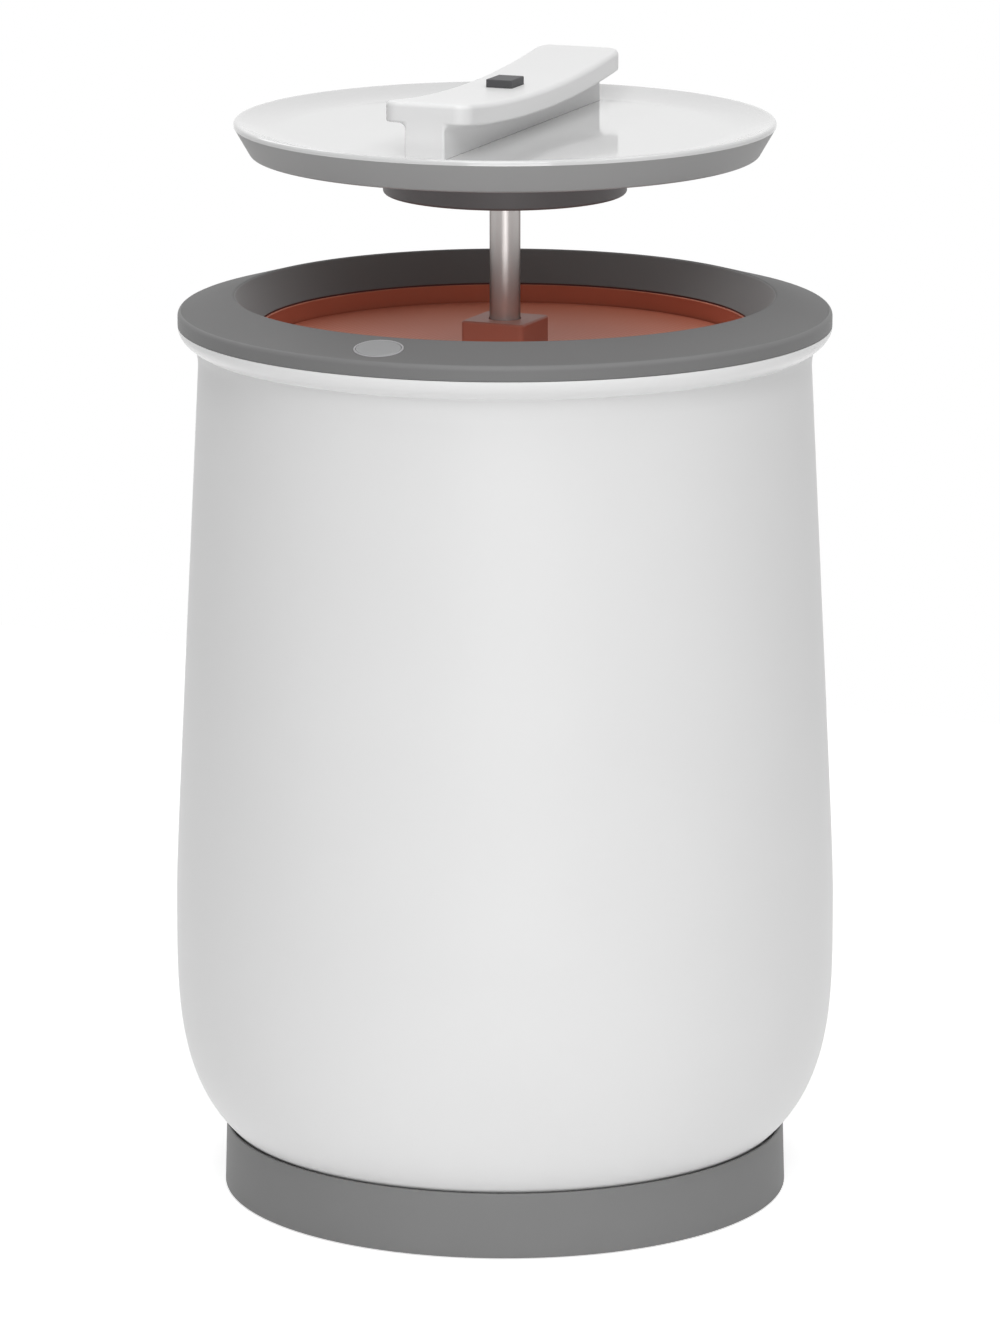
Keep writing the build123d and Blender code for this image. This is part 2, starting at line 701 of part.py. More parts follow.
def make_control():
    board_top = board_height + board_thickness
    board = block(board_width, board_depth, board_height, board_top, 0, board_y)
    for x, y in board_corners():
        board -= disc(small_screw[0] + hole_gap, board_height - 1, board_top + 1, x, y)
    parts["control_board"] = board
    parts["control_board_screws"] = copies(
        [Pos(x, y, 0) for x, y in board_corners()],
        screw(small_screw, board_top, plate_height + plate_thickness + 2, head_up=True),
    )
    relay = fillet(block(19, 15, board_top, board_top + 15, 24, 34).edges().filter_by(Axis.Z), 1.0)
    choke = ring(5, 11, board_top, board_top + 9)
    capacitor = fillet(disc(5, board_top, board_top + 13, -2, 66).edges().group_by(Axis.Z)[-1], 0.8)
    core = block(28, 22, board_top, board_top + 24, -24, 54)
    winding = block(20, 30, board_top + 4, board_top + 20, -24, 54)
    terminals = block(24, 9, board_top, board_top + 11, terminal_x, terminal_y)
    for i in range(4):
        terminals -= disc(1.6, board_top + 5, board_top + 12, terminal_x - 9 + 6 * i, terminal_y)
    socket = block(9, 6, board_top, board_top + 7, switch_lead_x, board_y - board_depth / 2 + 5)
    parts["relay"] = relay
    parts["transformer"] = core + winding
    parts["terminal_block"] = terminals
    parts["small_board_parts"] = Compound(
        [Pos(24, 60, 0) * choke.solid(), capacitor.solid(), socket.solid()]
    )

    heater_bottom = liner_underside - floor_heater_thickness
    rise = [disc(lead_radius, board_top + 5, heater_bottom, x, y) for x, y in heater_lead_places]
    parts["heater_leads"] = Compound([pin.solid() for pin in rise])

    # The lead passes a window of the stand, under the jacket, and climbs between jacket and shell.
    under_jacket = shell_flange_top + stand_wall + lead_radius + 1.8
    board_back = -switch_board_drop - switch_board_thickness
    joint = button_plane.from_local_coords((switch_lead_x, 0, board_back))
    before = button_plane.from_local_coords((switch_lead_x, 0, board_back - 2.6))
    route = [
        (switch_lead_x, board_y - board_depth / 2 + 2, board_top + 3.5),
        (switch_lead_x, -58, board_top + 3.5),
        (switch_lead_x, -96, under_jacket),
        (switch_lead_x, -lead_circle, under_jacket),
        (switch_lead_x, -lead_circle, before.Z),
        (switch_lead_x, before.Y, before.Z),
        (switch_lead_x, joint.Y, joint.Z),
    ]
    parts["switch_lead"] = lead(route, lead_radius, [30, 30, 5, 2.5, 2.5])


# ---- Lid --------------------------------------------------------------------------------
def skirt_radius(height):
    """Outside radius of the skirt's cone at a height."""
    return lid_radius - skirt_slope * (skirt_top - height)


def dish_height(radius):
    """Height of the dish's upper face at a radius: flat, then rising to the lip."""
    along = max(radius - dish_flat_radius, 0)
    return dish_centre + dish_curve - (dish_curve**2 - along**2) ** 0.5


def dish_region(rise, radius, level):
    """What lies between the dish's upper face, moved up by rise, and a level, turned about Z."""
    middle = (radius + dish_flat_radius) / 2
    curve = ThreePointArc(
        (dish_flat_radius, dish_centre + rise),
        (middle, dish_height(middle) + rise),
        (radius, dish_height(radius) + rise),
    )
    rest = Polyline(curve @ 1, (radius, level), (0, level), (0, dish_centre + rise), curve @ 0)
    return revolve(Plane.XZ * make_face(Wire(curve.edges() + rest.edges())), Axis.Z)


def make_lid():
    # A short spigot under the top's edge centres it in the skirt's cone.
    spigot_bottom = skirt_top - lid_spigot
    cone_wall = skirt_wall * hypot(1, skirt_slope) + seat_gap
    spigot_outer = skirt_radius(skirt_top) - 3.4
    spigot_low = skirt_radius(spigot_bottom) - cone_wall
    top = turned(
        (dish_bore, spigot_bottom),
        (spigot_low, spigot_bottom),
        (spigot_outer, skirt_top),
        (lid_radius, skirt_top, 0.4),
        (lid_radius, lid_edge_top, 1.7),
        (dish_bore, lid_edge_top),
    )
    top -= dish_region(0, dish_edge_radius, lid_edge_top + 1)
    top -= dish_region(-lid_wall, spigot_low - 2.0, spigot_bottom - 1)
    lip_edge = top.edges().filter_by(GeomType.CIRCLE).sort_by(
        lambda edge: abs(edge.radius - dish_edge_radius) + abs(edge.center().Z - lid_edge_top)
    )[0]
    top = fillet(lip_edge, 0.5)
    boss_top = dish_height(lid_screw_circle) - lid_wall / 2
    for place in around(lid_screw_circle, lid_screw_count, 30):
        top += place * disc(lid_boss_radius, skirt_floor_top, boss_top)
        top -= place * disc(lid_screw[0] + thread_gap, skirt_floor_top - 1, boss_top - lid_boss_roof)
    for place in grip_screw_places:
        top -= place * disc(base_screw[0] + hole_gap, dish_centre - 10, dish_centre + 10)
    parts["lid_top"] = top

    line = [
        (flange_radius - 6, skirt_bottom),
        (skirt_bottom_radius, skirt_bottom),
        (lid_radius - 0.15, skirt_top),
    ]
    skirt = wall_of(line, [0, skirt_rounding, 0], skirt_wall)
    skirt -= ring(lid_radius - 12, lid_radius + 5, skirt_top - 0.1, skirt_top + 5)
    for place in around(lid_screw_circle, lid_screw_count, 30):
        skirt -= place * disc(lid_screw[0] + hole_gap, skirt_bottom - 1, skirt_floor_top + 1)
    for place in around(hub_screw_circle, hub_screw_count):
        skirt -= place * disc(lid_screw[0] + hole_gap, skirt_bottom - 1, skirt_floor_top + 1)
    for place in around(flange_radius - 3, 4, 45):
        skirt -= place * disc(small_screw[0] + thread_gap, skirt_bottom - 1, skirt_floor_top + 1)
    parts["lid_skirt"] = skirt
    parts["lid_screws"] = copies(
        around(lid_screw_circle, lid_screw_count, 30),
        screw(lid_screw, skirt_bottom, boss_top - lid_boss_roof - screw_end_gap),
    )

    pad_top = dish_centre - lid_wall - under_lid_gap
    pad = ring(flange_radius + 2, skirt_radius(skirt_floor_top) - 8, skirt_floor_top, pad_top)
    for place in around(lid_screw_circle, lid_screw_count, 30):
        pad -= place * disc(4.6, skirt_floor_top - 1, pad_top + 1)
    for place in around(hub_screw_circle, hub_screw_count):
        pad -= place * disc(lid_screw[1] + 0.8, skirt_floor_top - 1, skirt_floor_top + 3)
    for place in grip_screw_places:
        pad -= place * disc(base_screw[1] + 1.0, skirt_floor_top - 1, pad_top + 1)
    parts["lid_insulation"] = pad


def make_hub():
    hub = wall_of(
        [(tube_radius + running_gap, hub_bottom), (hub_radius, hub_bottom), (hub_radius, skirt_bottom)],
        [0, hub_rounding, 0],
        hub_wall,
    )
    for place in around(hub_screw_circle, hub_screw_count):
        hub += place * disc(lid_boss_radius, hub_bottom + hub_wall / 2, skirt_bottom)
        hub -= place * disc(lid_screw[0] + thread_gap, hub_bottom + hub_wall + 1, skirt_bottom + 1)
    parts["lid_hub"] = hub
    parts["hub_screws"] = copies(
        around(hub_screw_circle, hub_screw_count),
        screw(lid_screw, skirt_floor_top, hub_bottom + hub_wall + 2, head_up=True),
    )


# ---- Grip -------------------------------------------------------------------------------
def saddle(height):
    """The grip's long curve at a height of its middle, from end to end."""
    half = grip_length / 2
    return ThreePointArc((-half, height + grip_saddle), (0, height), (half, height + grip_saddle))


def make_grip():
    half = grip_length / 2
    flange_bottom = grip_middle_top - grip_thickness
    upper, lower = saddle(grip_middle_top), saddle(flange_bottom)
    ends = [Line(upper @ 0, lower @ 0), Line(lower @ 1, upper @ 1)]
    side_view = make_face(Wire(upper.edges() + ends[0].edges() + lower.edges() + ends[1].edges()))
    along = Plane(origin=(0, 0, 0), x_dir=(0, 1, 0), z_dir=(1, 0, 0))
    flange = extrude(along * side_view, grip_width / 2, both=True)
    plan = RectangleRounded(grip_width, grip_length - 0.02, grip_corner)
    flange &= Pos(0, 0, dish_centre) * extrude(plan, 60)
    underside, top_face = flange.faces().sort_by(SortBy.AREA)[-2:].sort_by(Axis.Z)
    flange = fillet(top_face.edges(), grip_top_rounding)
    underside = flange.faces().filter_by(GeomType.CYLINDER).sort_by(Axis.Z)[0]
    flange = fillet(underside.edges(), grip_under_rounding)

    middle = saddle(grip_middle_top - grip_thickness / 2)
    web_bottom = dish_centre - 2
    web_view = make_face(
        Wire(
            middle.edges()
            + Polyline(middle @ 1, (half, web_bottom), (-half, web_bottom), middle @ 0).edges()
        )
    )
    web = extrude(along * web_view, web_width / 2, both=True)
    web &= Pos(0, 0, web_bottom - 1) * extrude(
        RectangleRounded(web_width, grip_length - 0.02, 1.0), 60
    )
    grip = flange + web
    inner_edges = [
        edge
        for edge in grip.edges()
        if abs(abs(edge.center().X) - web_width / 2) < 0.01
        and edge.length > grip_length * 0.7
        and edge.center().Z > dish_centre + 5
    ]
    grip = fillet(inner_edges, web_blend)

    # The web's foot follows the dish.
    grip -= dish_region(0.1, dish_edge_radius, web_bottom - 5)

    pocket_floor = grip_button_bottom - grip_button_travel - 0.4
    pocket = RectangleRounded(
        grip_button_width + 2 * running_gap, grip_button_length + 2 * running_gap, 1.2
    )
    grip -= Pos(0, 0, pocket_floor) * extrude(pocket, 30)
    grip -= disc(spring_radius + spring_clearance, post_top, grip_middle_top)
    grip -= disc(tube_radius + running_gap, web_bottom - 5, post_top + 1.7)
    for place in grip_screw_places:
        grip -= place * disc(base_screw[0] + thread_gap, web_bottom - 5, flange_bottom + 4)
    parts["grip"] = grip
    seat = dish_height(grip_screw_offset) - lid_wall - 0.1
    parts["grip_screws"] = copies(grip_screw_places, screw(base_screw, seat, flange_bottom + 3))


def make_grip_button():
    top = grip_button_bottom + grip_button_height
    button = Pos(0, 0, grip_button_bottom) * extrude(
        RectangleRounded(grip_button_width, grip_button_length, 0.9), grip_button_height
    )
    button = fillet(button.edges().group_by(Axis.Z)[-1], 0.6)
    socket_top = grip_button_bottom + 2.0
    button -= disc(rod_radius + thread_gap, grip_button_bottom - 1, socket_top)
    parts["grip_button"] = button

    nose_bottom = post_top - lock_reach
    rod = disc(rod_radius, nose_bottom, socket_top) + disc(lock_radius, nose_bottom, nose_bottom + 4)
    parts["release_rod"] = rod

    # The spring closes up between the lock's flange and the button.
    low, high = post_top + lock_flange + 0.1, grip_button_bottom - 0.1
    coil_height = high - low - 2 * spring_wire
    helix = Helix(coil_height / spring_turns, coil_height, spring_radius, center=(0, 0, low + spring_wire))
    coil = sweep(Plane(helix @ 0, z_dir=helix % 0) * Circle(spring_wire), path=helix, is_frenet=True)
    parts["button_spring"] = coil


# ---- Post -------------------------------------------------------------------------------
def stage(index):
    """Outer radius, bottom and top of a tube; stage 0 is the outermost and 3 the innermost."""
    top = post_top - tube_stagger * index
    foot = post_foot if index == 3 else 0
    return tube_radius - tube_step * index, top - tube_length - foot, top


def make_tube(index, name, bush_name=None):
    """A post tube, with the bush that guides the next tube pressed in its mouth."""
    outer, bottom, top = stage(index)
    inner = outer - tube_wall
    tube = ring(inner, outer, bottom, top)
    if index:
        tube += ring(inner, outer + tube_step - tube_wall - head_gap, top - head_length, top)
    parts[name] = tube
    if bush_name:
        next_outer = outer - tube_step
        bore = next_outer + bush_gap
        parts[bush_name] = turned(
            (bore, bottom - bush_lip),
            (outer, bottom - bush_lip, 0.3),
            (outer, bottom),
            (inner - 0.02, bottom),
            (inner - 0.02, bottom + bush_length),
            (bore, bottom + bush_length),
        )


def make_post():
    make_tube(0, "post_outer_tube", "outer_tube_bush")
    make_tube(1, "post_middle_tube_a", "middle_tube_a_bush")
    make_tube(2, "post_middle_tube_b", "middle_tube_b_bush")
    make_tube(3, "post_inner_tube")

    sleeve_bore = tube_radius + thread_gap
    sleeve_bottom = hub_bottom + hub_wall + 1
    sleeve_top = dish_centre - lid_wall - under_lid_gap
    flange_top = skirt_floor_top + flange_thickness
    flange = turned(
        (sleeve_bore, sleeve_bottom),
        (sleeve_radius, sleeve_bottom, 0.6),
        (sleeve_radius, skirt_floor_top),
        (flange_radius, skirt_floor_top),
        (flange_radius, flange_top, 0.6),
        (sleeve_radius, flange_top),
        (sleeve_radius, sleeve_top),
        (sleeve_bore, sleeve_top),
    )
    for place in around(flange_radius - 3, 4, 45):
        flange -= place * disc(small_screw[0] + hole_gap, skirt_floor_top - 1, flange_top + 1)
    parts["post_flange"] = flange
    parts["post_flange_screws"] = copies(
        around(flange_radius - 3, 4, 45),
        screw(small_screw, flange_top, skirt_bottom + 0.3, head_up=True),
    )

    # Split collet: its fingers grip the innermost tube's bore while the rod spreads them.
    inner_bore = stage(3)[0] - tube_wall
    plug_radius = tube_radius - tube_wall - 0.05
    lock = disc(tube_radius, post_top, post_top + lock_flange)
    lock += disc(plug_radius, post_top - 1.6, post_top)
    lock += disc(inner_bore - 0.1, post_top - lock_reach, post_top - 1.6)
    lock -= disc(lock_radius + 0.1, post_top - lock_reach - 1, post_top + lock_flange + 1)
    for angle in (0, 90):
        lock -= Rot(0, 0, angle) * block(0.8, 10, post_top - lock_reach - 1, post_top - 6)
    parts["post_lock"] = lock


# ---- Tray -------------------------------------------------------------------------------
def make_tray():
    groove = tray_radius - tray_groove
    rim_bottom = tray_height - tray_skirt
    foot_radius_here, foot_bottom, _ = stage(3)
    tray = turned(
        (0, tray_underside),
        (groove - tray_wall, tray_underside),
        (groove - tray_wall, rim_bottom),
        (groove, rim_bottom),
        (groove, tray_underside),
        (tray_radius, tray_underside),
        (tray_radius, tray_height, 0.8),
        (0, tray_height),
    )
    for place in around((boss_radius + groove - tray_wall) / 2, tray_rib_count, tray_rib_turn):
        rib_length = groove - tray_wall - boss_radius + 1
        tray += place * block(rib_length, tray_rib_width, tray_underside - tray_rib_depth, tray_underside)
    tray += disc(boss_radius, boss_bottom, tray_underside)
    # The collapsed tubes' mouths stand in the upper bore, the inner tube's foot in the lower.
    tray -= disc(tube_radius + tube_clearance, stage(2)[1] - bush_lip - 1.0, tray_height + 1)
    tray -= disc(foot_radius_here + thread_gap, foot_bottom, tray_height + 1)
    tray -= disc(lid_screw[0] + hole_gap, boss_bottom - 1, foot_bottom + 1)
    tray -= disc(lid_screw[1] + hole_gap, boss_bottom - 1, boss_bottom + lid_screw[2])
    for x, y in socket_corners():
        tray -= disc(lid_screw[0] + hole_gap, tray_underside - 1, tray_height + 1, x, y)
    parts["tray_plate"] = tray

    socket = Pos(0, 0, tray_height) * extrude(Rectangle(socket_side, socket_side), socket_height)
    socket = fillet(socket.edges().filter_by(Axis.Z), socket_corner)
    socket = fillet(socket.edges().group_by(Axis.Z)[-1], socket_top_rounding)
    socket -= disc(tube_radius + tube_clearance, tray_height - 1, tray_height + socket_height + 1)
    for x, y in socket_corners():
        socket -= disc(lid_screw[0] + thread_gap, tray_height - 1, tray_height + 9, x, y)
    parts["post_socket"] = socket
    parts["socket_screws"] = copies(
        [Pos(x, y, 0) for x, y in socket_corners()],
        screw(lid_screw, tray_underside, tray_height + 8),
    )

    lip_middle = (rim_bottom + tray_underside) / 2
    parts["tray_wiper"] = turned(
        (groove + wiper_seat, rim_bottom + 0.5),
        (groove + wiper_wall, rim_bottom + 0.5),
        (groove + wiper_wall, lip_middle - 0.6),
        (liner_radius - running_gap, lip_middle + 0.2),
        (liner_radius - running_gap, lip_middle + 1.0),
        (groove + wiper_wall, lip_middle + 0.8),
        (groove + wiper_wall, tray_underside - 0.1),
        (groove + wiper_seat, tray_underside - 0.1),
    )
    plug_radius = foot_radius_here - tube_wall - thread_gap
    plug = disc(plug_radius, foot_bottom, foot_bottom + 12)
    plug -= disc(lid_screw[0] + thread_gap, foot_bottom - 1, foot_bottom + 10)
    parts["post_foot_plug"] = plug
    parts["post_foot_screw"] = screw(lid_screw, boss_bottom + lid_screw[2], foot_bottom + 8)


def socket_corners():
    """Screw places of the post socket."""
    offset = socket_side / 2 - socket_screw_inset
    return [(i * offset, j * offset) for i in (-1, 1) for j in (-1, 1)]


# ---- Build and write --------------------------------------------------------------------
def build():
    make_base()
    make_shell()
    make_collar()
    make_rim()
    make_power_button()
    make_liner()
    make_control()
    fixed = set(parts)
    make_lid()
    make_hub()
    make_grip()
    make_grip_button()
    make_post()
    # The whole lid unit, but not the tray, stands turned in the rim.
    for name in set(parts) - fixed:
        parts[name] = Rot(0, 0, lid_turn) * parts[name]
    make_tray()


build()
os.makedirs("parts", exist_ok=True)
for node, shape in parts.items():
    export_step(shape, f"parts/{node}.step")
print(len(parts), "nodes")
print("lid closes by", lid_lift, "post extends by", post_travel)
print("press axis of the power button", tuple(round(v, 5) for v in button_plane.z_dir))
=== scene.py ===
import math

import bmesh
import bpy
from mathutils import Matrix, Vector


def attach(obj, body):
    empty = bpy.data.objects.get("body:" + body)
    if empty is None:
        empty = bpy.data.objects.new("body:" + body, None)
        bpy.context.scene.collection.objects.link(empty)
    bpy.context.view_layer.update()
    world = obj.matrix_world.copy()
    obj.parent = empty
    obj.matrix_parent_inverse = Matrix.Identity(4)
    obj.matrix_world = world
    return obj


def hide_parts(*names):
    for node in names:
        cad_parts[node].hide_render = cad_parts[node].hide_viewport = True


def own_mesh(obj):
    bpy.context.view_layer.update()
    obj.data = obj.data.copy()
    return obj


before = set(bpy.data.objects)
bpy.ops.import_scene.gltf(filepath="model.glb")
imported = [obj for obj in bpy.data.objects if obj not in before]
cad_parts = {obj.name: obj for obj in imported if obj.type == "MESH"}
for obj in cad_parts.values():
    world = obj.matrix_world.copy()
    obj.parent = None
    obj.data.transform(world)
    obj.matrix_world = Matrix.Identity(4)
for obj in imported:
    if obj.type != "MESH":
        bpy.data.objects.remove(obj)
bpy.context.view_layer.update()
bpy.ops.object.select_all(action="DESELECT")

# Towel warmer bucket.  Metres, in the frame of the CAD parts: +Z up, the power button towards -Y.
# The sizes of pieces and patterns are written in millimetres.

MM = 0.001


# ---- Shader helpers ---------------------------------------------------------------------
def colour(hex_value):
    """An sRGB hex colour as linear RGBA."""
    channels = [int(hex_value[i : i + 2], 16) / 255 for i in (1, 3, 5)]
    linear = [c / 12.92 if c <= 0.04045 else ((c + 0.055) / 1.055) ** 2.4 for c in channels]
    return (*linear, 1.0)


def node(tree, kind, inputs=None, **settings):
    """Adds a node, sets its settings, and sets or links each named input."""
    made = tree.nodes.new(kind)
    for name, value in settings.items():
        setattr(made, name, value)
    for name, value in (inputs or {}).items():
        if isinstance(value, bpy.types.NodeSocket):
            tree.links.new(value, made.inputs[name])
        else:
            made.inputs[name].default_value = value
    return made


def per_metre(size_mm):
    """Texture scale whose features are about size_mm across."""
    return 1.0 / (size_mm * MM)


def new_material(name):
    """An empty node material and its Object coordinates."""
    material = bpy.data.materials.new(name)
    material.use_nodes = True
    tree = material.node_tree
    tree.nodes.clear()
    return material, tree, node(tree, "ShaderNodeTexCoord").outputs["Object"]


PLASTIC_IOR = 1.53
PLASTIC_CLOUD_MM = 70


def moulded(
    name,
    shade,
    tint,
    roughness,
    grain_mm,
    grain_depth_mm,
    spread=0.05,
    specular=0.5,
    coat=0.0,
    coat_roughness=0.03,
):
    """Injection-moulded plastic: two close shades in slow clouds, and the tool's fine grain.

    A tool's grain is 0.1 to 0.3 mm across, too fine to show, so it is drawn at about 1 mm.
    """
    material, tree, place = new_material(name)
    cloud = node(
        tree,
        "ShaderNodeTexNoise",
        {"Vector": place, "Scale": per_metre(PLASTIC_CLOUD_MM), "Detail": 2.0},
    )
    blend = node(
        tree,
        "ShaderNodeMix",
        {"Factor": cloud.outputs["Fac"], "A": colour(shade), "B": colour(tint)},
        data_type="RGBA",
    )
    grain = node(
        tree, "ShaderNodeTexNoise", {"Vector": place, "Scale": per_metre(grain_mm), "Detail": 3.0}
    )
    gloss = node(
        tree,
        "ShaderNodeMapRange",
        {
            "Value": grain.outputs["Fac"],
            "To Min": roughness - spread,
            "To Max": roughness + spread,
        },
    )
    bump = node(
        tree,
        "ShaderNodeBump",
        {"Height": grain.outputs["Fac"], "Strength": 0.6, "Distance": grain_depth_mm * MM},
    )
    shader = node(
        tree,
        "ShaderNodeBsdfPrincipled",
        {
            "Base Color": blend.outputs["Result"],
            "Roughness": gloss.outputs["Result"],
            "IOR": PLASTIC_IOR,
            "Specular IOR Level": specular,
            "Coat Weight": coat,
            "Coat Roughness": coat_roughness,
            "Normal": bump.outputs["Normal"],
        },
    )
    node(tree, "ShaderNodeOutputMaterial", {"Surface": shader.outputs["BSDF"]})
    return material


METAL_LINE_DEPTH_MM = 0.01


def brushed(name, hex_value, roughness, line_mm, stretch, spread=0.08, edge_tint="#ffffff"):
    """Metal with fine lines that widen the highlight across them.

    The pattern changes stretch times as fast along Z as across it, so a small stretch
    draws lines that run along Z.  Real ones are under 0.1 mm wide, too fine to show, so
    they are drawn 0.3 to 0.5 mm wide.
    """
    material, tree, place = new_material(name)
    mapped = node(tree, "ShaderNodeMapping", {"Vector": place, "Scale": (1.0, 1.0, stretch)})
    lines = node(
        tree,
        "ShaderNodeTexNoise",
        {"Vector": mapped.outputs["Vector"], "Scale": per_metre(line_mm), "Detail": 4.0},
    )
    gloss = node(
        tree,
        "ShaderNodeMapRange",
        {
            "Value": lines.outputs["Fac"],
            "To Min": roughness - spread,
            "To Max": roughness + spread,
        },
    )
    bump = node(
        tree,
        "ShaderNodeBump",
        {"Height": lines.outputs["Fac"], "Strength": 0.5, "Distance": METAL_LINE_DEPTH_MM * MM},
    )
    shader = node(
        tree,
        "ShaderNodeBsdfPrincipled",
        {
            "Base Color": colour(hex_value),
            "Metallic": 1.0,
            "Roughness": gloss.outputs["Result"],
            "Specular Tint": colour(edge_tint),
            "Normal": bump.outputs["Normal"],
        },
    )
    node(tree, "ShaderNodeOutputMaterial", {"Surface": shader.outputs["BSDF"]})
    return material


# ---- Materials --------------------------------------------------------------------------
def white_abs():
    """White ABS from a polished tool: broad soft highlights, clear only at a glancing angle."""
    return moulded(
        "white_abs_moulded",
        "#ebebeb",
        "#eeeeee",
        roughness=0.38,
        grain_mm=1.2,
        grain_depth_mm=0.0006,
        spread=0.02,
        specular=0.35,
    )


def collar_painted_light_white_abs():
    """The collar's white ABS, smoother than the shell's, in a whiter colour that is painted light:
    it shines as a band under the rim.
    """
    return moulded(
        "white_abs_collar_painted_light",
        # A whiter shade than the shell's white: painted light on the collar.
        "#f4f4f4",
        "#f7f7f7",
        roughness=0.24,
        grain_mm=1.2,
        grain_depth_mm=0.0004,
        spread=0.02,
    )


def polished_white_abs():
    """White ABS from a mirror tool: the dish shows a soft reflection of the grip."""
    return moulded(
        "white_abs_polished",
        "#d5d5d5",
        "#d9d9d9",
        roughness=0.1,
        grain_mm=2.4,
        grain_depth_mm=0.0004,
        spread=0.02,
        coat=0.4,
        coat_roughness=0.05,
    )


def grey_abs():
    """Mid-grey ABS from a fine-blasted tool: satin, with a grain that just shows."""
    return moulded(
        "grey_abs_moulded",
        "#818181",
        "#868686",
        roughness=0.55,
        grain_mm=0.9,
        grain_depth_mm=0.012,
        specular=0.22,
    )


def rim_grey_abs():
    """The same ABS a shade darker and smoother, on the rim's side and funnel: an even satin."""
    return moulded(
        "grey_abs_matt_moulded",
        "#777777",
        "#7c7c7c",
        roughness=0.5,
        grain_mm=0.9,
        grain_depth_mm=0.008,
        specular=0.3,
    )


def rim_top_painted_shade_abs():
    """The rim's sloping top: more matt than the side, and a shade darker as painted shade."""
    return moulded(
        "grey_abs_rim_top_painted_shade",
        # A shade darker than the rim's side: painted shade on the top.
        "#747474",
        "#797979",
        roughness=0.62,
        grain_mm=1.1,
        grain_depth_mm=0.014,
        specular=0.16,
    )


def skirt_grey_abs():
    """Lighter grey ABS with the same fine-blasted face: satin."""
    return moulded(
        "light_grey_abs_moulded",
        "#a2a2a2",
        "#a7a7a7",
        roughness=0.48,
        grain_mm=0.9,
        grain_depth_mm=0.008,
        specular=0.3,
    )


def hub_grey_abs():
    """Dark grey ABS, slightly coarser: a dull satin."""
    return moulded(
        "dark_grey_abs_moulded",
        "#6c6a6b",
        "#706e6f",
        roughness=0.5,
        grain_mm=1.1,
        grain_depth_mm=0.01,
    )


def button_black_abs():
    """Charcoal ABS with a soft matt face."""
    return moulded(
        "charcoal_abs_moulded",
        "#4b4b4d",
        "#515153",
        roughness=0.55,
        grain_mm=0.8,
        grain_depth_mm=0.012,
        specular=0.25,
    )


def key_grey_abs():
    """Light grey ABS, satin: it stands out pale on the rim."""
    return moulded(
        "light_key_abs_moulded",
        "#9fa0a1",
        "#a4a5a6",
        roughness=0.4,
        grain_mm=0.9,
        grain_depth_mm=0.008,
        specular=0.2,
    )


def glow_painted_copper():
    """Spun aluminium in copper-brown, the heater's warm glow painted into its colour: fine turning
    lines and a soft metallic sheen.

    Turning lines are about 0.3 mm apart, too fine to show.  A wave texture repeats
    20 / (2 * pi) times in its scale, so a wave of 9 mm draws them 2.8 mm apart.
    """
    wave_mm = 9.0
    cloud_mm = 55
    material, tree, place = new_material("aluminium_spun_glow_painted_copper")
    rings = node(
        tree,
        "ShaderNodeTexWave",
        {"Vector": place, "Scale": per_metre(wave_mm), "Distortion": 0.4, "Detail": 2.0},
        wave_type="RINGS",
        rings_direction="Z",
    )
    cloud = node(
        tree, "ShaderNodeTexNoise", {"Vector": place, "Scale": per_metre(cloud_mm), "Detail": 2.0}
    )
    blend = node(
        tree,
        "ShaderNodeMix",
        # Both browns are the heater's warm glow, painted into the colour.
        {"Factor": cloud.outputs["Fac"], "A": colour("#cc785f"), "B": colour("#d48268")},
        data_type="RGBA",
    )
    gloss = node(
        tree,
        "ShaderNodeMapRange",
        {"Value": rings.outputs["Fac"], "To Min": 0.4, "To Max": 0.5},
    )
    bump = node(
        tree,
        "ShaderNodeBump",
        {"Height": rings.outputs["Fac"], "Strength": 0.25, "Distance": METAL_LINE_DEPTH_MM * MM},
    )
    shader = node(
        tree,
        "ShaderNodeBsdfPrincipled",
        {
            "Base Color": blend.outputs["Result"],
            "Metallic": 0.3,
            "Roughness": gloss.outputs["Result"],
            "Specular IOR Level": 0.2,
            "Normal": bump.outputs["Normal"],
        },
    )
    node(tree, "ShaderNodeOutputMaterial", {"Surface": shader.outputs["BSDF"]})
    return material


def chromed_steel_painted_edge_shade():
    """Steel tube, brushed lengthways and chromed: long streaks, and a grey edge tint that dims
    them towards its edges as painted shade.
    """
    return brushed(
        "steel_chromed_brushed_painted_edge_shade",
        "#bdb9b7",
        roughness=0.32,
        line_mm=0.35,
        stretch=0.02,
        # The grey edge tint is painted shade along the tube's edges.
        edge_tint="#8a8684",
    )


def zinc_steel():
    """Zinc-plated steel for screws, rod and spring: a cool dull shine."""
    return brushed("steel_zinc_plated", "#9c9da0", roughness=0.4, line_mm=0.3, stretch=0.3)


def core_steel():
    """A transformer core of varnished steel sheets: dark, with lines between the sheets."""
    return brushed("steel_laminated_varnished", "#4b4640", roughness=0.5, line_mm=0.5, stretch=6.0)


def fuse_brass():
    """Drawn brass case: yellow, with faint lines from the drawing."""
    return brushed("brass_drawn", "#b08c50", roughness=0.3, line_mm=0.3, stretch=0.2)


def glow_painted_nylon():
    """Heat-resistant nylon in a brown that is the heater's warm glow painted into its colour:
    satin, close to the tray's colour.
    """
    return moulded(
        "glow_painted_nylon_moulded",
        # The brown is the heater's warm glow, painted into the colour.
        "#bc7765",
        "#c27e6c",
        roughness=0.45,
        grain_mm=0.9,
        grain_depth_mm=0.01,
        specular=0.25,
    )


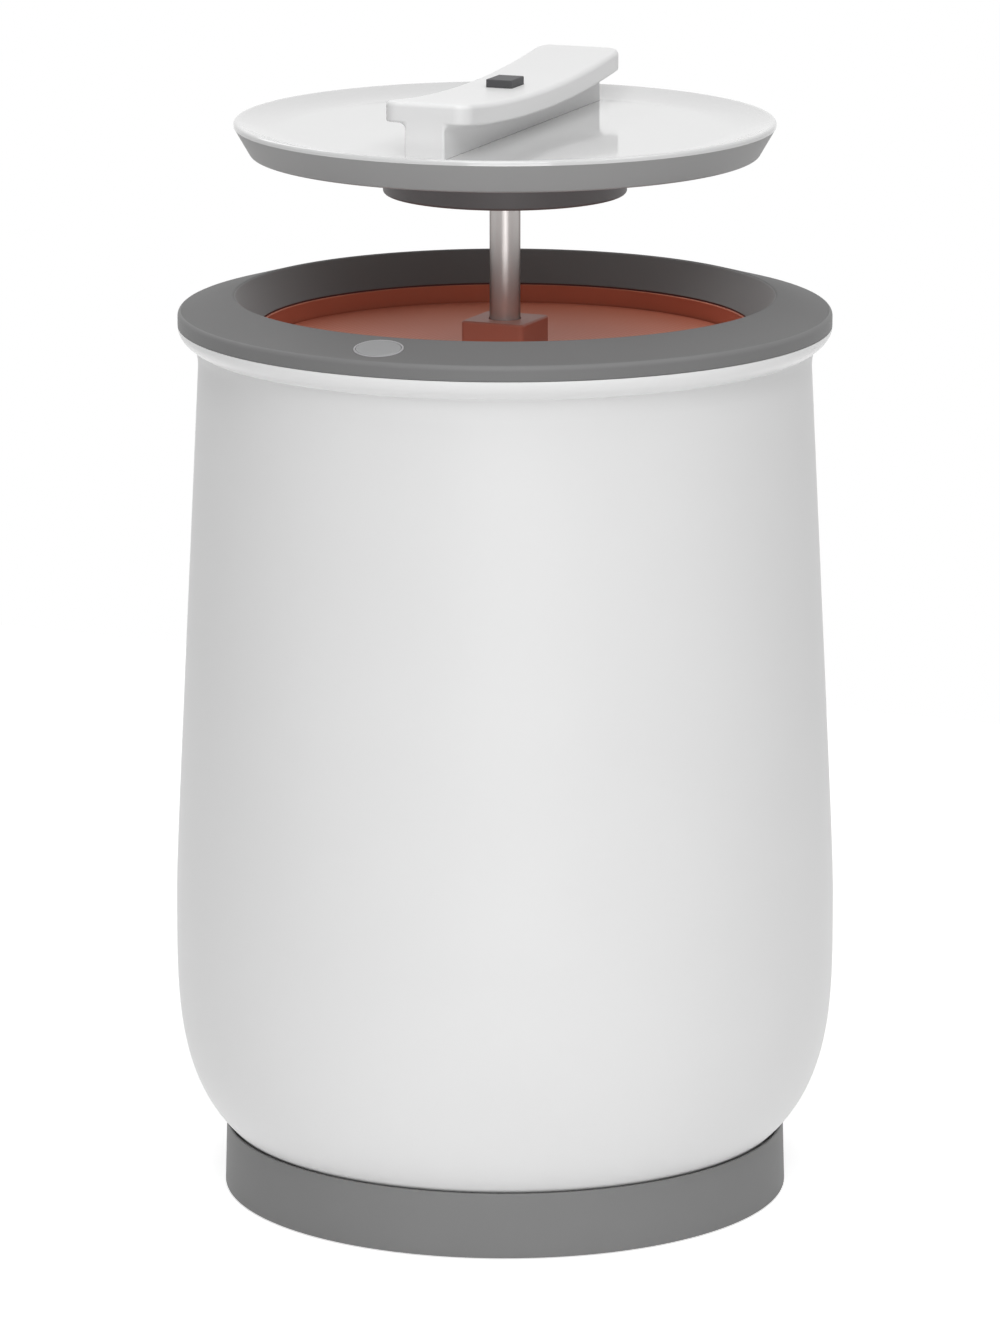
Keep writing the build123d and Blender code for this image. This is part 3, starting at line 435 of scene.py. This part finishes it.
def outline_pc():
    """Pale translucent polycarbonate light guide: smooth, with a clear gloss."""
    return moulded(
        "light_guide_polycarbonate",
        "#b4b4b6",
        "#bbbbbd",
        roughness=0.3,
        grain_mm=1.2,
        grain_depth_mm=0.004,
    )


def black_rubber():
    """Moulded black rubber: matt, with a coarse skin."""
    return moulded(
        "rubber_moulded", "#1d1d1e", "#262627", roughness=0.62, grain_mm=0.7, grain_depth_mm=0.02
    )


def silicone():
    """Red-brown moulded silicone with a soft bloom."""
    return moulded(
        "silicone_moulded", "#552a22", "#5e3027", roughness=0.55, grain_mm=1.4, grain_depth_mm=0.01
    )


def acetal():
    """Black low-friction acetal: smooth and slightly waxy."""
    return moulded(
        "acetal_turned", "#28282a", "#303032", roughness=0.4, grain_mm=0.8, grain_depth_mm=0.008
    )


def nylon():
    """Charcoal heat-resistant nylon: dull satin."""
    return moulded(
        "nylon_moulded", "#363637", "#3e3e3f", roughness=0.5, grain_mm=0.9, grain_depth_mm=0.012
    )


def board_epoxy():
    """Green glass-epoxy board: a thin clear coat over its glass."""
    return moulded(
        "glass_epoxy_board",
        "#1d4a2a",
        "#225433",
        roughness=0.35,
        grain_mm=0.6,
        grain_depth_mm=0.01,
        coat=0.2,
    )


def terminal_nylon():
    """Green moulded terminal block: satin."""
    return moulded(
        "terminal_nylon_moulded",
        "#2c683a",
        "#327242",
        roughness=0.42,
        grain_mm=0.9,
        grain_depth_mm=0.01,
    )


def glass_wool():
    """Needled glass wool felt: matt fibres with an uneven face."""
    tuft_mm = 2.2
    tuft_depth_mm = 0.6
    material, tree, place = new_material("glass_wool_needled")
    fibre = node(
        tree, "ShaderNodeTexNoise", {"Vector": place, "Scale": per_metre(tuft_mm), "Detail": 8.0}
    )
    blend = node(
        tree,
        "ShaderNodeMix",
        {"Factor": fibre.outputs["Fac"], "A": colour("#c4bfae"), "B": colour("#e2decf")},
        data_type="RGBA",
    )
    bump = node(
        tree,
        "ShaderNodeBump",
        {"Height": fibre.outputs["Fac"], "Strength": 0.8, "Distance": tuft_depth_mm * MM},
    )
    shader = node(
        tree,
        "ShaderNodeBsdfPrincipled",
        {
            "Base Color": blend.outputs["Result"],
            "Roughness": 0.95,
            "Normal": bump.outputs["Normal"],
        },
    )
    node(tree, "ShaderNodeOutputMaterial", {"Surface": shader.outputs["BSDF"]})
    return material


FINISHES = {
    white_abs: ["outer_shell", "grip"],
    collar_painted_light_white_abs: ["top_collar"],
    polished_white_abs: ["lid_top"],
    grey_abs: ["base_ring"],
    rim_grey_abs: ["rim_ring"],
    skirt_grey_abs: ["lid_skirt"],
    hub_grey_abs: ["lid_hub", "base_plate"],
    button_black_abs: ["grip_button"],
    key_grey_abs: ["power_button"],
    outline_pc: ["button_outline_ring"],
    glow_painted_copper: ["inner_liner", "tray_plate"],
    glow_painted_nylon: ["post_socket"],
    chromed_steel_painted_edge_shade: [
        "post_outer_tube",
        "post_middle_tube_a",
        "post_middle_tube_b",
        "post_inner_tube",
    ],
    acetal: [
        "outer_tube_bush",
        "middle_tube_a_bush",
        "middle_tube_b_bush",
        "post_foot_plug",
        "post_lock",
    ],
    zinc_steel: [
        "base_screws",
        "rim_screws",
        "lid_screws",
        "hub_screws",
        "grip_screws",
        "switch_board_screws",
        "control_board_screws",
        "post_flange_screws",
        "socket_screws",
        "post_foot_screw",
        "release_rod",
        "button_spring",
        "post_flange",
    ],
    black_rubber: ["rubber_feet", "cord_gland", "heater_leads", "switch_lead"],
    silicone: ["liner_gasket", "tray_wiper", "floor_heater", "heater_band"],
    glass_wool: ["insulation_jacket", "insulation_pad", "lid_insulation"],
    nylon: [
        "liner_stand",
        "sensor_bracket",
        "thermostat",
        "relay",
        "small_board_parts",
        "tact_switch",
    ],
    board_epoxy: ["control_board", "switch_board"],
    terminal_nylon: ["terminal_block"],
    core_steel: ["transformer"],
    fuse_brass: ["thermal_fuse"],
}


def finish_cad_nodes():
    """Gives every node its material, and returns the materials by node."""
    finishes = {}
    for make, names in FINISHES.items():
        material = make()
        for name in names:
            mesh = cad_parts[name].data
            mesh.materials.clear()
            mesh.materials.append(material)
            finishes[name] = material
    return finishes


finishes = finish_cad_nodes()


# ---- Modelling helpers, sizes in millimetres --------------------------------------------
ROUND_SIDES = 240
OVAL_SIDES = 96
HOLE_SIDES = 64
ROUNDING_STEPS = 5
SMOOTH_BELOW = math.radians(32)
NEAR = 0.02 * MM


def open_piece(name):
    """Names the primitive just added, puts its place in its mesh and opens it for editing."""
    piece = bpy.context.object
    piece.name = name
    bpy.ops.object.transform_apply(location=True, rotation=True, scale=True)
    bpy.ops.object.mode_set(mode="EDIT")
    bpy.ops.mesh.select_all(action="SELECT")
    return piece


def pick_ring(piece, radius, height):
    """Selects the ring of edges at a radius and height."""
    bpy.ops.mesh.select_mode(type="EDGE")
    bpy.ops.mesh.select_all(action="DESELECT")
    mesh = bmesh.from_edit_mesh(piece.data)
    for edge in mesh.edges:
        on_ring = all(
            abs(math.hypot(corner.co.x, corner.co.y) - radius * MM) < NEAR
            and abs(corner.co.z - height * MM) < NEAR
            for corner in edge.verts
        )
        if on_ring:
            edge.select_set(True)
    bmesh.update_edit_mesh(piece.data)


def turned(name, line, closed=True):
    """A round piece: a circle is extruded along a line of corners (radius, height).

    A corner with a third number is rounded by it.
    """
    radius, height = line[0][:2]
    bpy.ops.mesh.primitive_circle_add(
        vertices=ROUND_SIDES, radius=radius * MM, location=(0, 0, height * MM)
    )
    piece = open_piece(name)
    for corner in line[1:] + line[:1] if closed else line[1:]:
        bpy.ops.mesh.extrude_region_move(
            TRANSFORM_OT_translate={"value": (0, 0, (corner[1] - height) * MM)}
        )
        growth = corner[0] / radius
        bpy.ops.transform.resize(value=(growth, growth, 1), center_override=(0, 0, corner[1] * MM))
        radius, height = corner[:2]
    bpy.ops.mesh.select_all(action="SELECT")
    bpy.ops.mesh.remove_doubles(threshold=NEAR / 4)
    bpy.ops.mesh.normals_make_consistent(inside=False)
    for radius, height, rounding in (corner for corner in line if len(corner) > 2):
        pick_ring(piece, radius, height)
        bpy.ops.mesh.bevel(offset=rounding * MM, segments=ROUNDING_STEPS, affect="EDGES")
    bpy.ops.object.mode_set(mode="OBJECT")
    return piece


def curve(start, first_pull, second_pull, end, steps):
    """Points of a Bezier curve after its start, as (radius, height)."""
    corners = (start, first_pull, second_pull, end)
    points = []
    for step in range(1, steps + 1):
        t = step / steps
        weights = ((1 - t) ** 3, 3 * t * (1 - t) ** 2, 3 * t * t * (1 - t), t**3)
        points.append([sum(w * corner[i] for w, corner in zip(weights, corners)) for i in (0, 1)])
    return points


def cut(piece, cutter):
    """Cuts the cutter's shape out of the piece."""
    bpy.ops.object.select_all(action="DESELECT")
    bpy.context.view_layer.objects.active = piece
    piece.select_set(True)
    bpy.ops.object.modifier_add(type="BOOLEAN")
    modifier = piece.modifiers[-1]
    modifier.operation = "DIFFERENCE"
    modifier.solver = "EXACT"
    modifier.object = cutter
    bpy.ops.object.modifier_apply(modifier=modifier.name)
    bpy.data.objects.remove(cutter)


def thicken(piece, wall):
    """Gives an open skin a wall on its inside."""
    bpy.ops.object.modifier_add(type="SOLIDIFY")
    modifier = piece.modifiers[-1]
    modifier.thickness = wall * MM
    modifier.offset = -1
    modifier.use_even_offset = True
    bpy.ops.object.modifier_apply(modifier=modifier.name)


def stands_for(piece, node_name, body):
    """Smooths a finished piece, gives it its node's material and puts it in the node's place."""
    bpy.ops.object.select_all(action="DESELECT")
    bpy.context.view_layer.objects.active = piece
    piece.select_set(True)
    bpy.ops.object.shade_smooth_by_angle(angle=SMOOTH_BELOW)
    bpy.ops.object.modifier_add(type="WEIGHTED_NORMAL")
    modifier = piece.modifiers[-1]
    modifier.keep_sharp = True
    bpy.ops.object.modifier_apply(modifier=modifier.name)
    piece.select_set(False)
    piece.data.materials.clear()
    piece.data.materials.append(finishes[node_name])
    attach(piece, body)
    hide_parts(node_name)


# ---- Shell, collar, rim and base --------------------------------------------------------
RIM_RADIUS = 170.0
BASE_RADIUS = 148.8
BASE_TOP = 34.9
LEDGE_TOP = 23.0
NECK = (161.2, 450.9)
THROAT = (159.6, 440.0)
BELLY = (173.3, 156.0)
SHELL_FOOT = (143.0, 33.0)
SHELL_FLANGE_RADIUS = 127.5
SHELL_WALL = 2.4
SIDE_STEPS = 28
LIP_STEPS = 6
FLARE_STEPS = 12
DECK_HEIGHT = 459.0
COLLAR_TOP = 462.0
RIM_SEAT = COLLAR_TOP + 0.3
RIM_SIDE_TOP = 469.7
RIM_TOP = (140.6, 477.75)
FUNNEL_FOOT = (128.0, 461.0)
SHADED_TOP_NORMAL_Z = 0.9
BUTTON_CIRCLE = 154.5
BUTTON_LONG = 26.4
BUTTON_SHORT = 19.9
BUTTON_RING = 0.95
BUTTON_CLEARANCE = 0.1
BUTTON_RECESS = 1.6
CUTTER_REACH = 6.0
GLAND_HOLE_RADIUS = 5.2
GLAND_HOLE_DEPTH = 20.0
GLAND_HEIGHT = 13.0


def make_shell():
    """The shell's side in one sweep, from its flange on the base to the throat and the neck."""
    foot_pull = (175.8, 60.2)
    belly_pulls = (BELLY[0], 109.0), (BELLY[0], 179.2)
    throat_pulls = (169.6, 240.0), (159.4, 443.6)
    neck_pull = (160.0, 447.3)
    line = [(SHELL_FLANGE_RADIUS, LEDGE_TOP), (SHELL_FOOT[0], LEDGE_TOP), SHELL_FOOT]
    line += curve(SHELL_FOOT, foot_pull, belly_pulls[0], BELLY, SIDE_STEPS)
    line += curve(BELLY, belly_pulls[1], throat_pulls[0], THROAT, SIDE_STEPS)
    line += curve(THROAT, throat_pulls[1], neck_pull, NECK, LIP_STEPS)
    shell = turned("shell_side", line, closed=False)
    thicken(shell, SHELL_WALL)
    stands_for(shell, "outer_shell", "bucket")


def make_collar():
    """The flared collar, the deck that carries the liner's lip, and the spigot in the shell."""
    flare_foot = (NECK[0], 451.3)
    flare_pulls = (165.6, 453.5), (RIM_RADIUS, 457.1)
    bead_inside = 167.6
    deck_inside = 130.0
    deck_underside = (164.1, 456.0)
    spigot_root = (160.0, 453.7)
    spigot_inside = 154.6
    spigot_outside = 157.0
    spigot_bottom = 442.4
    line = [NECK, flare_foot]
    line += curve(flare_foot, *flare_pulls, (RIM_RADIUS, COLLAR_TOP), FLARE_STEPS)
    line += [
        (bead_inside, COLLAR_TOP),
        (bead_inside, DECK_HEIGHT),
        (deck_inside, DECK_HEIGHT),
        (deck_inside, deck_underside[1]),
        deck_underside,
        spigot_root,
        (spigot_inside, spigot_root[1]),
        (spigot_inside, spigot_bottom),
        (spigot_outside, spigot_bottom),
        (spigot_outside, NECK[1]),
    ]
    stands_for(turned("collar_flare", line), "top_collar", "bucket")


def button_cutter(long, short, bottom, top):
    """An oval cutter square to the rim's slope at the power button."""
    slope = math.atan2(RIM_TOP[1] - RIM_SIDE_TOP, RIM_RADIUS - RIM_TOP[0])
    height = RIM_SIDE_TOP + (RIM_RADIUS - BUTTON_CIRCLE) * math.tan(slope)
    out = Vector((0, -math.sin(slope), math.cos(slope)))
    centre = Vector((0, -BUTTON_CIRCLE, height)) + out * (bottom + top) / 2
    bpy.ops.mesh.primitive_cylinder_add(
        vertices=OVAL_SIDES, radius=1, depth=1, location=centre * MM, rotation=(slope, 0, 0)
    )
    cutter = bpy.context.object
    cutter.scale = (long / 2 * MM, short / 2 * MM, (top - bottom) * MM)
    bpy.ops.object.transform_apply(location=True, rotation=True, scale=True)
    return cutter


def make_rim():
    """The rim's wall: outer side, sloping top and funnel, with the power button's oval opening."""
    side_rounding = 2.4
    top_rounding = 1.2
    funnel_rounding = 0.5
    side_inside = 167.5
    shoulder_height = 467.8
    top_inside = (141.6, 474.9)
    funnel_outside = 131.1
    rim = turned(
        "rim_cover",
        [
            (RIM_RADIUS, RIM_SEAT),
            (RIM_RADIUS, RIM_SIDE_TOP, side_rounding),
            (*RIM_TOP, top_rounding),
            (*FUNNEL_FOOT, funnel_rounding),
            (funnel_outside, FUNNEL_FOOT[1]),
            top_inside,
            (side_inside, shoulder_height),
            (side_inside, RIM_SEAT),
        ],
    )
    # The key's opening goes right through; the outline ring only sits in a recess.
    for margin, bottom in ((-BUTTON_RING, -CUTTER_REACH), (BUTTON_CLEARANCE, -BUTTON_RECESS)):
        long, short = BUTTON_LONG + 2 * margin, BUTTON_SHORT + 2 * margin
        cut(rim, button_cutter(long, short, bottom, CUTTER_REACH))
    stands_for(rim, "rim_ring", "bucket")
    # The up-facing faces of the sloping top take the darker grey: painted shade.
    rim.data.materials.append(rim_top_painted_shade_abs())
    for face in rim.data.polygons:
        face.material_index = 1 if face.normal.z > SHADED_TOP_NORMAL_Z else 0


def make_base():
    """The base ring with its ledge, and the hole for the cord's gland."""
    bottom = 0.6
    bottom_inside = 145.8
    bottom_rounding = 0.8
    top_rounding = 0.5
    draft = 1.0
    lip_inside = 146.9
    seat = (144.8, 32.5)
    ledge_inside = 126.8
    ledge_bottom = 20.0
    under_ledge = 145.2
    base = turned(
        "base_side",
        [
            (bottom_inside, bottom),
            (BASE_RADIUS, bottom, bottom_rounding),
            (BASE_RADIUS - draft, BASE_TOP, top_rounding),
            (lip_inside, BASE_TOP),
            seat,
            (seat[0], LEDGE_TOP),
            (ledge_inside, LEDGE_TOP),
            (ledge_inside, ledge_bottom),
            (under_ledge, ledge_bottom),
        ],
    )
    bpy.ops.mesh.primitive_cylinder_add(
        vertices=HOLE_SIDES,
        radius=GLAND_HOLE_RADIUS * MM,
        depth=GLAND_HOLE_DEPTH * MM,
        location=(0, BASE_RADIUS * MM, GLAND_HEIGHT * MM),
        rotation=(math.pi / 2, 0, 0),
    )
    cut(base, bpy.context.object)
    stands_for(base, "base_ring", "bucket")


# ---- Lid --------------------------------------------------------------------------------
LID_RADIUS = 140.3
LID_EDGE_TOP = 568.45
LID_WALL = 2.5
DISH_CENTRE = 563.85
DISH_FLAT_RADIUS = 113.9
DISH_EDGE_RADIUS = 137.9
DISH_STEPS = 16
DISH_UNDERSIDE_STEPS = 12
SKIRT_TOP = 565.85
SKIRT_BOTTOM = 551.05
SKIRT_FLOOR = 2.2
SKIRT_GAP = 0.15
HUB_RADIUS = 63.2
HUB_BOTTOM = 530.75
POST_BORE = 8.3


def dish_height(radius):
    """Height of the dish at a radius: flat, then an arc up to the lip."""
    width = DISH_EDGE_RADIUS - DISH_FLAT_RADIUS
    rise = LID_EDGE_TOP - DISH_CENTRE
    bend = (width**2 + rise**2) / (2 * rise)
    return DISH_CENTRE + bend - math.sqrt(bend**2 - (radius - DISH_FLAT_RADIUS) ** 2)


def dish_line(start, end, drop, steps):
    """Points of the dish's curve between two radii, lowered by drop."""
    radii = [start + (end - start) * step / steps for step in range(steps + 1)]
    return [(radius, dish_height(radius) - drop) for radius in radii]


def make_lid_top():
    """The shallow dish: a flat middle, a slow rise and a soft rounded lip."""
    rise_rounding = 0.7
    lip_rounding = 1.5
    seat_inside = 136.9
    spigot_outside = 134.9
    spigot_inside = 132.9
    underside = DISH_CENTRE - LID_WALL
    rise = dish_line(DISH_FLAT_RADIUS, DISH_EDGE_RADIUS, 0, DISH_STEPS)
    line = [(POST_BORE, DISH_CENTRE)] + rise[:-1]
    line += [
        (*rise[-1], rise_rounding),
        (LID_RADIUS, LID_EDGE_TOP, lip_rounding),
        (LID_RADIUS, SKIRT_TOP),
        (seat_inside, SKIRT_TOP),
        (spigot_outside, underside),
        (spigot_inside, underside),
    ]
    line += dish_line(spigot_inside, DISH_FLAT_RADIUS, LID_WALL, DISH_UNDERSIDE_STEPS)
    line += [(POST_BORE, underside)]
    stands_for(turned("lid_dish", line), "lid_top", "lid")


def make_skirt():
    """The cone under the dish, with its flat floor."""
    hole = 20.0
    floor_edge = 131.6
    floor_rounding = 1.2
    floor_top = SKIRT_BOTTOM + SKIRT_FLOOR
    cone_inside = (130.2, 137.6)
    line = [
        (hole, SKIRT_BOTTOM),
        (floor_edge, SKIRT_BOTTOM, floor_rounding),
        (LID_RADIUS - SKIRT_GAP, SKIRT_TOP),
        (cone_inside[1], SKIRT_TOP),
        (cone_inside[0], floor_top),
        (hole, floor_top),
    ]
    stands_for(turned("lid_cone", line), "lid_skirt", "lid")


def make_hub():
    """The round hub under the cone."""
    rounding = 1.6
    inside = HUB_RADIUS - LID_WALL
    floor_top = HUB_BOTTOM + LID_WALL
    line = [
        (POST_BORE, HUB_BOTTOM),
        (HUB_RADIUS, HUB_BOTTOM, rounding),
        (HUB_RADIUS, SKIRT_BOTTOM),
        (inside, SKIRT_BOTTOM),
        (inside, floor_top),
        (POST_BORE, floor_top),
    ]
    stands_for(turned("hub_cup", line), "lid_hub", "lid")


# ---- Spring under the grip's button -----------------------------------------------------
SPRING_RADIUS = 3.3
SPRING_WIRE = 0.35
SPRING_FOOT = 573.6
SPRING_LENGTH = 8.6
SPRING_TURNS = 5
SPRING_STEPS = 28
WIRE_SIDES = 12


def make_spring():
    """The coil spring: a ring of wire wound upwards."""
    bpy.ops.mesh.primitive_circle_add(
        vertices=WIRE_SIDES,
        radius=SPRING_WIRE * MM,
        location=(SPRING_RADIUS * MM, 0, (SPRING_FOOT + SPRING_WIRE) * MM),
        rotation=(math.radians(90), 0, 0),
    )
    spring = open_piece("wound_spring")
    bpy.ops.object.mode_set(mode="OBJECT")
    bpy.ops.object.modifier_add(type="SCREW")
    modifier = spring.modifiers[-1]
    modifier.screw_offset = (SPRING_LENGTH - 2 * SPRING_WIRE) / SPRING_TURNS * MM
    modifier.iterations = SPRING_TURNS
    modifier.steps = SPRING_STEPS
    modifier.render_steps = SPRING_STEPS
    bpy.ops.object.modifier_apply(modifier=modifier.name)
    bpy.ops.object.mode_set(mode="EDIT")
    bpy.ops.mesh.select_all(action="SELECT")
    bpy.ops.mesh.fill_holes(sides=WIRE_SIDES)
    bpy.ops.mesh.select_all(action="SELECT")
    bpy.ops.mesh.normals_make_consistent(inside=False)
    bpy.ops.object.mode_set(mode="OBJECT")
    stands_for(spring, "button_spring", "lid")
    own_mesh(spring)


# ---- Studio -----------------------------------------------------------------------------
VIEW_AZIMUTH = math.radians(24.2)
VIEW_PITCH = math.radians(12.72)
VIEW_DISTANCE = 3.8729
TARGET = Vector((0, 0, 0.2789))
LENS = 199.2
TARGET_PIXELS_RIGHT = 5
IMAGE_HEIGHT = 1333
WHITE = (1, 1, 1, 1)
FLOOR_SIZE = 2.2
FLOOR_COLOUR = (0.8, 0.8, 0.8, 1)
FLOOR_GLOW_ON_OBJECT = 0.17
FLOOR_GLOW_SHOWN = 0.65
WORLD_ON_OBJECT = 0.27
WORLD_SHOWN = 1.0


def seen_from(azimuth, elevation, distance):
    """A place round the target: azimuth 0 is in front of the power button."""
    return TARGET + distance * Vector(
        (
            math.sin(azimuth) * math.cos(elevation),
            -math.cos(azimuth) * math.cos(elevation),
            math.sin(elevation),
        )
    )


def face_target(thing):
    """Turns a camera or lamp towards the target."""
    thing.rotation_mode = "QUATERNION"
    thing.rotation_quaternion = (TARGET - thing.location).to_track_quat("-Z", "Y")


def make_camera():
    """A long lens, a little above the rim; a small shift puts the target right of centre."""
    camera = bpy.data.objects.new("camera", bpy.data.cameras.new("camera"))
    bpy.context.collection.objects.link(camera)
    camera.location = seen_from(VIEW_AZIMUTH, VIEW_PITCH, VIEW_DISTANCE)
    face_target(camera)
    camera.data.lens = LENS
    camera.data.sensor_width = 36
    camera.data.shift_x = -TARGET_PIXELS_RIGHT / IMAGE_HEIGHT
    camera.data.clip_start = 0.1
    camera.data.clip_end = 50
    bpy.context.scene.camera = camera


def softbox(name, place, size, power):
    """An area light of (width, height) that faces the target from a place.

    The place is azimuth and elevation in degrees and distance in metres; power is in watts.
    """
    azimuth, elevation, distance = place
    data = bpy.data.lights.new(name, "AREA")
    data.shape = "RECTANGLE"
    data.size, data.size_y = size
    data.energy = power
    lamp = bpy.data.objects.new(name, data)
    bpy.context.collection.objects.link(lamp)
    lamp.location = seen_from(math.radians(azimuth), math.radians(elevation), distance)
    face_target(lamp)


def make_lights():
    """A broad light above, one in front, a low strip under the lid, one each at side and back."""
    softbox("high_softbox", place=(4, 76, 2.4), size=(1.1, 1.1), power=12)
    softbox("front_softbox", place=(24, 42, 2.8), size=(1.5, 1.1), power=28)
    softbox("front_strip", place=(26, 0, 2.6), size=(1.6, 0.5), power=8)
    softbox("side_softbox", place=(98, 56, 2.4), size=(1.1, 0.8), power=6.5)
    softbox("back_softbox", place=(238, 42, 2.6), size=(1.0, 1.0), power=6.5)


def backdrop_rays(tree):
    """1 for camera, glossy and transmission rays, 0 for the rays that light the object."""
    rays = node(tree, "ShaderNodeLightPath")
    either = node(
        tree,
        "ShaderNodeMath",
        {0: rays.outputs["Is Camera Ray"], 1: rays.outputs["Is Glossy Ray"]},
        operation="MAXIMUM",
    )
    return node(
        tree,
        "ShaderNodeMath",
        {0: either.outputs["Value"], 1: rays.outputs["Is Transmission Ray"]},
        operation="MAXIMUM",
    ).outputs["Value"]


def make_world():
    """A white backdrop that gives the object only a low even light."""
    world = bpy.data.worlds.new("studio")
    bpy.context.scene.world = world
    world.use_nodes = True
    tree = world.node_tree
    tree.nodes.clear()
    shown = node(tree, "ShaderNodeBackground", {"Color": WHITE, "Strength": WORLD_SHOWN})
    light = node(tree, "ShaderNodeBackground", {"Color": WHITE, "Strength": WORLD_ON_OBJECT})
    mixed = node(
        tree,
        "ShaderNodeMixShader",
        {0: backdrop_rays(tree), 1: light.outputs["Background"], 2: shown.outputs["Background"]},
    )
    node(tree, "ShaderNodeOutputWorld", {"Surface": mixed.outputs["Shader"]})


def make_floor():
    """A pale lit table that keeps a soft shadow and meets the white backdrop."""
    bpy.ops.mesh.primitive_plane_add(size=FLOOR_SIZE)
    floor = bpy.context.object
    floor.name = "floor"
    material = bpy.data.materials.new("studio_floor")
    material.use_nodes = True
    tree = material.node_tree
    tree.nodes.clear()
    matt = node(tree, "ShaderNodeBsdfDiffuse", {"Color": FLOOR_COLOUR})
    strength = node(
        tree,
        "ShaderNodeMapRange",
        {"Value": backdrop_rays(tree), "To Min": FLOOR_GLOW_ON_OBJECT, "To Max": FLOOR_GLOW_SHOWN},
    )
    glow = node(
        tree, "ShaderNodeEmission", {"Color": WHITE, "Strength": strength.outputs["Result"]}
    )
    both = node(
        tree, "ShaderNodeAddShader", {0: matt.outputs["BSDF"], 1: glow.outputs["Emission"]}
    )
    node(tree, "ShaderNodeOutputMaterial", {"Surface": both.outputs["Shader"]})
    floor.data.materials.append(material)


make_shell()
make_collar()
make_rim()
make_base()
make_lid_top()
make_skirt()
make_hub()
make_spring()
make_camera()
make_lights()
make_world()
make_floor()
bpy.context.scene.view_settings.view_transform = "Standard"
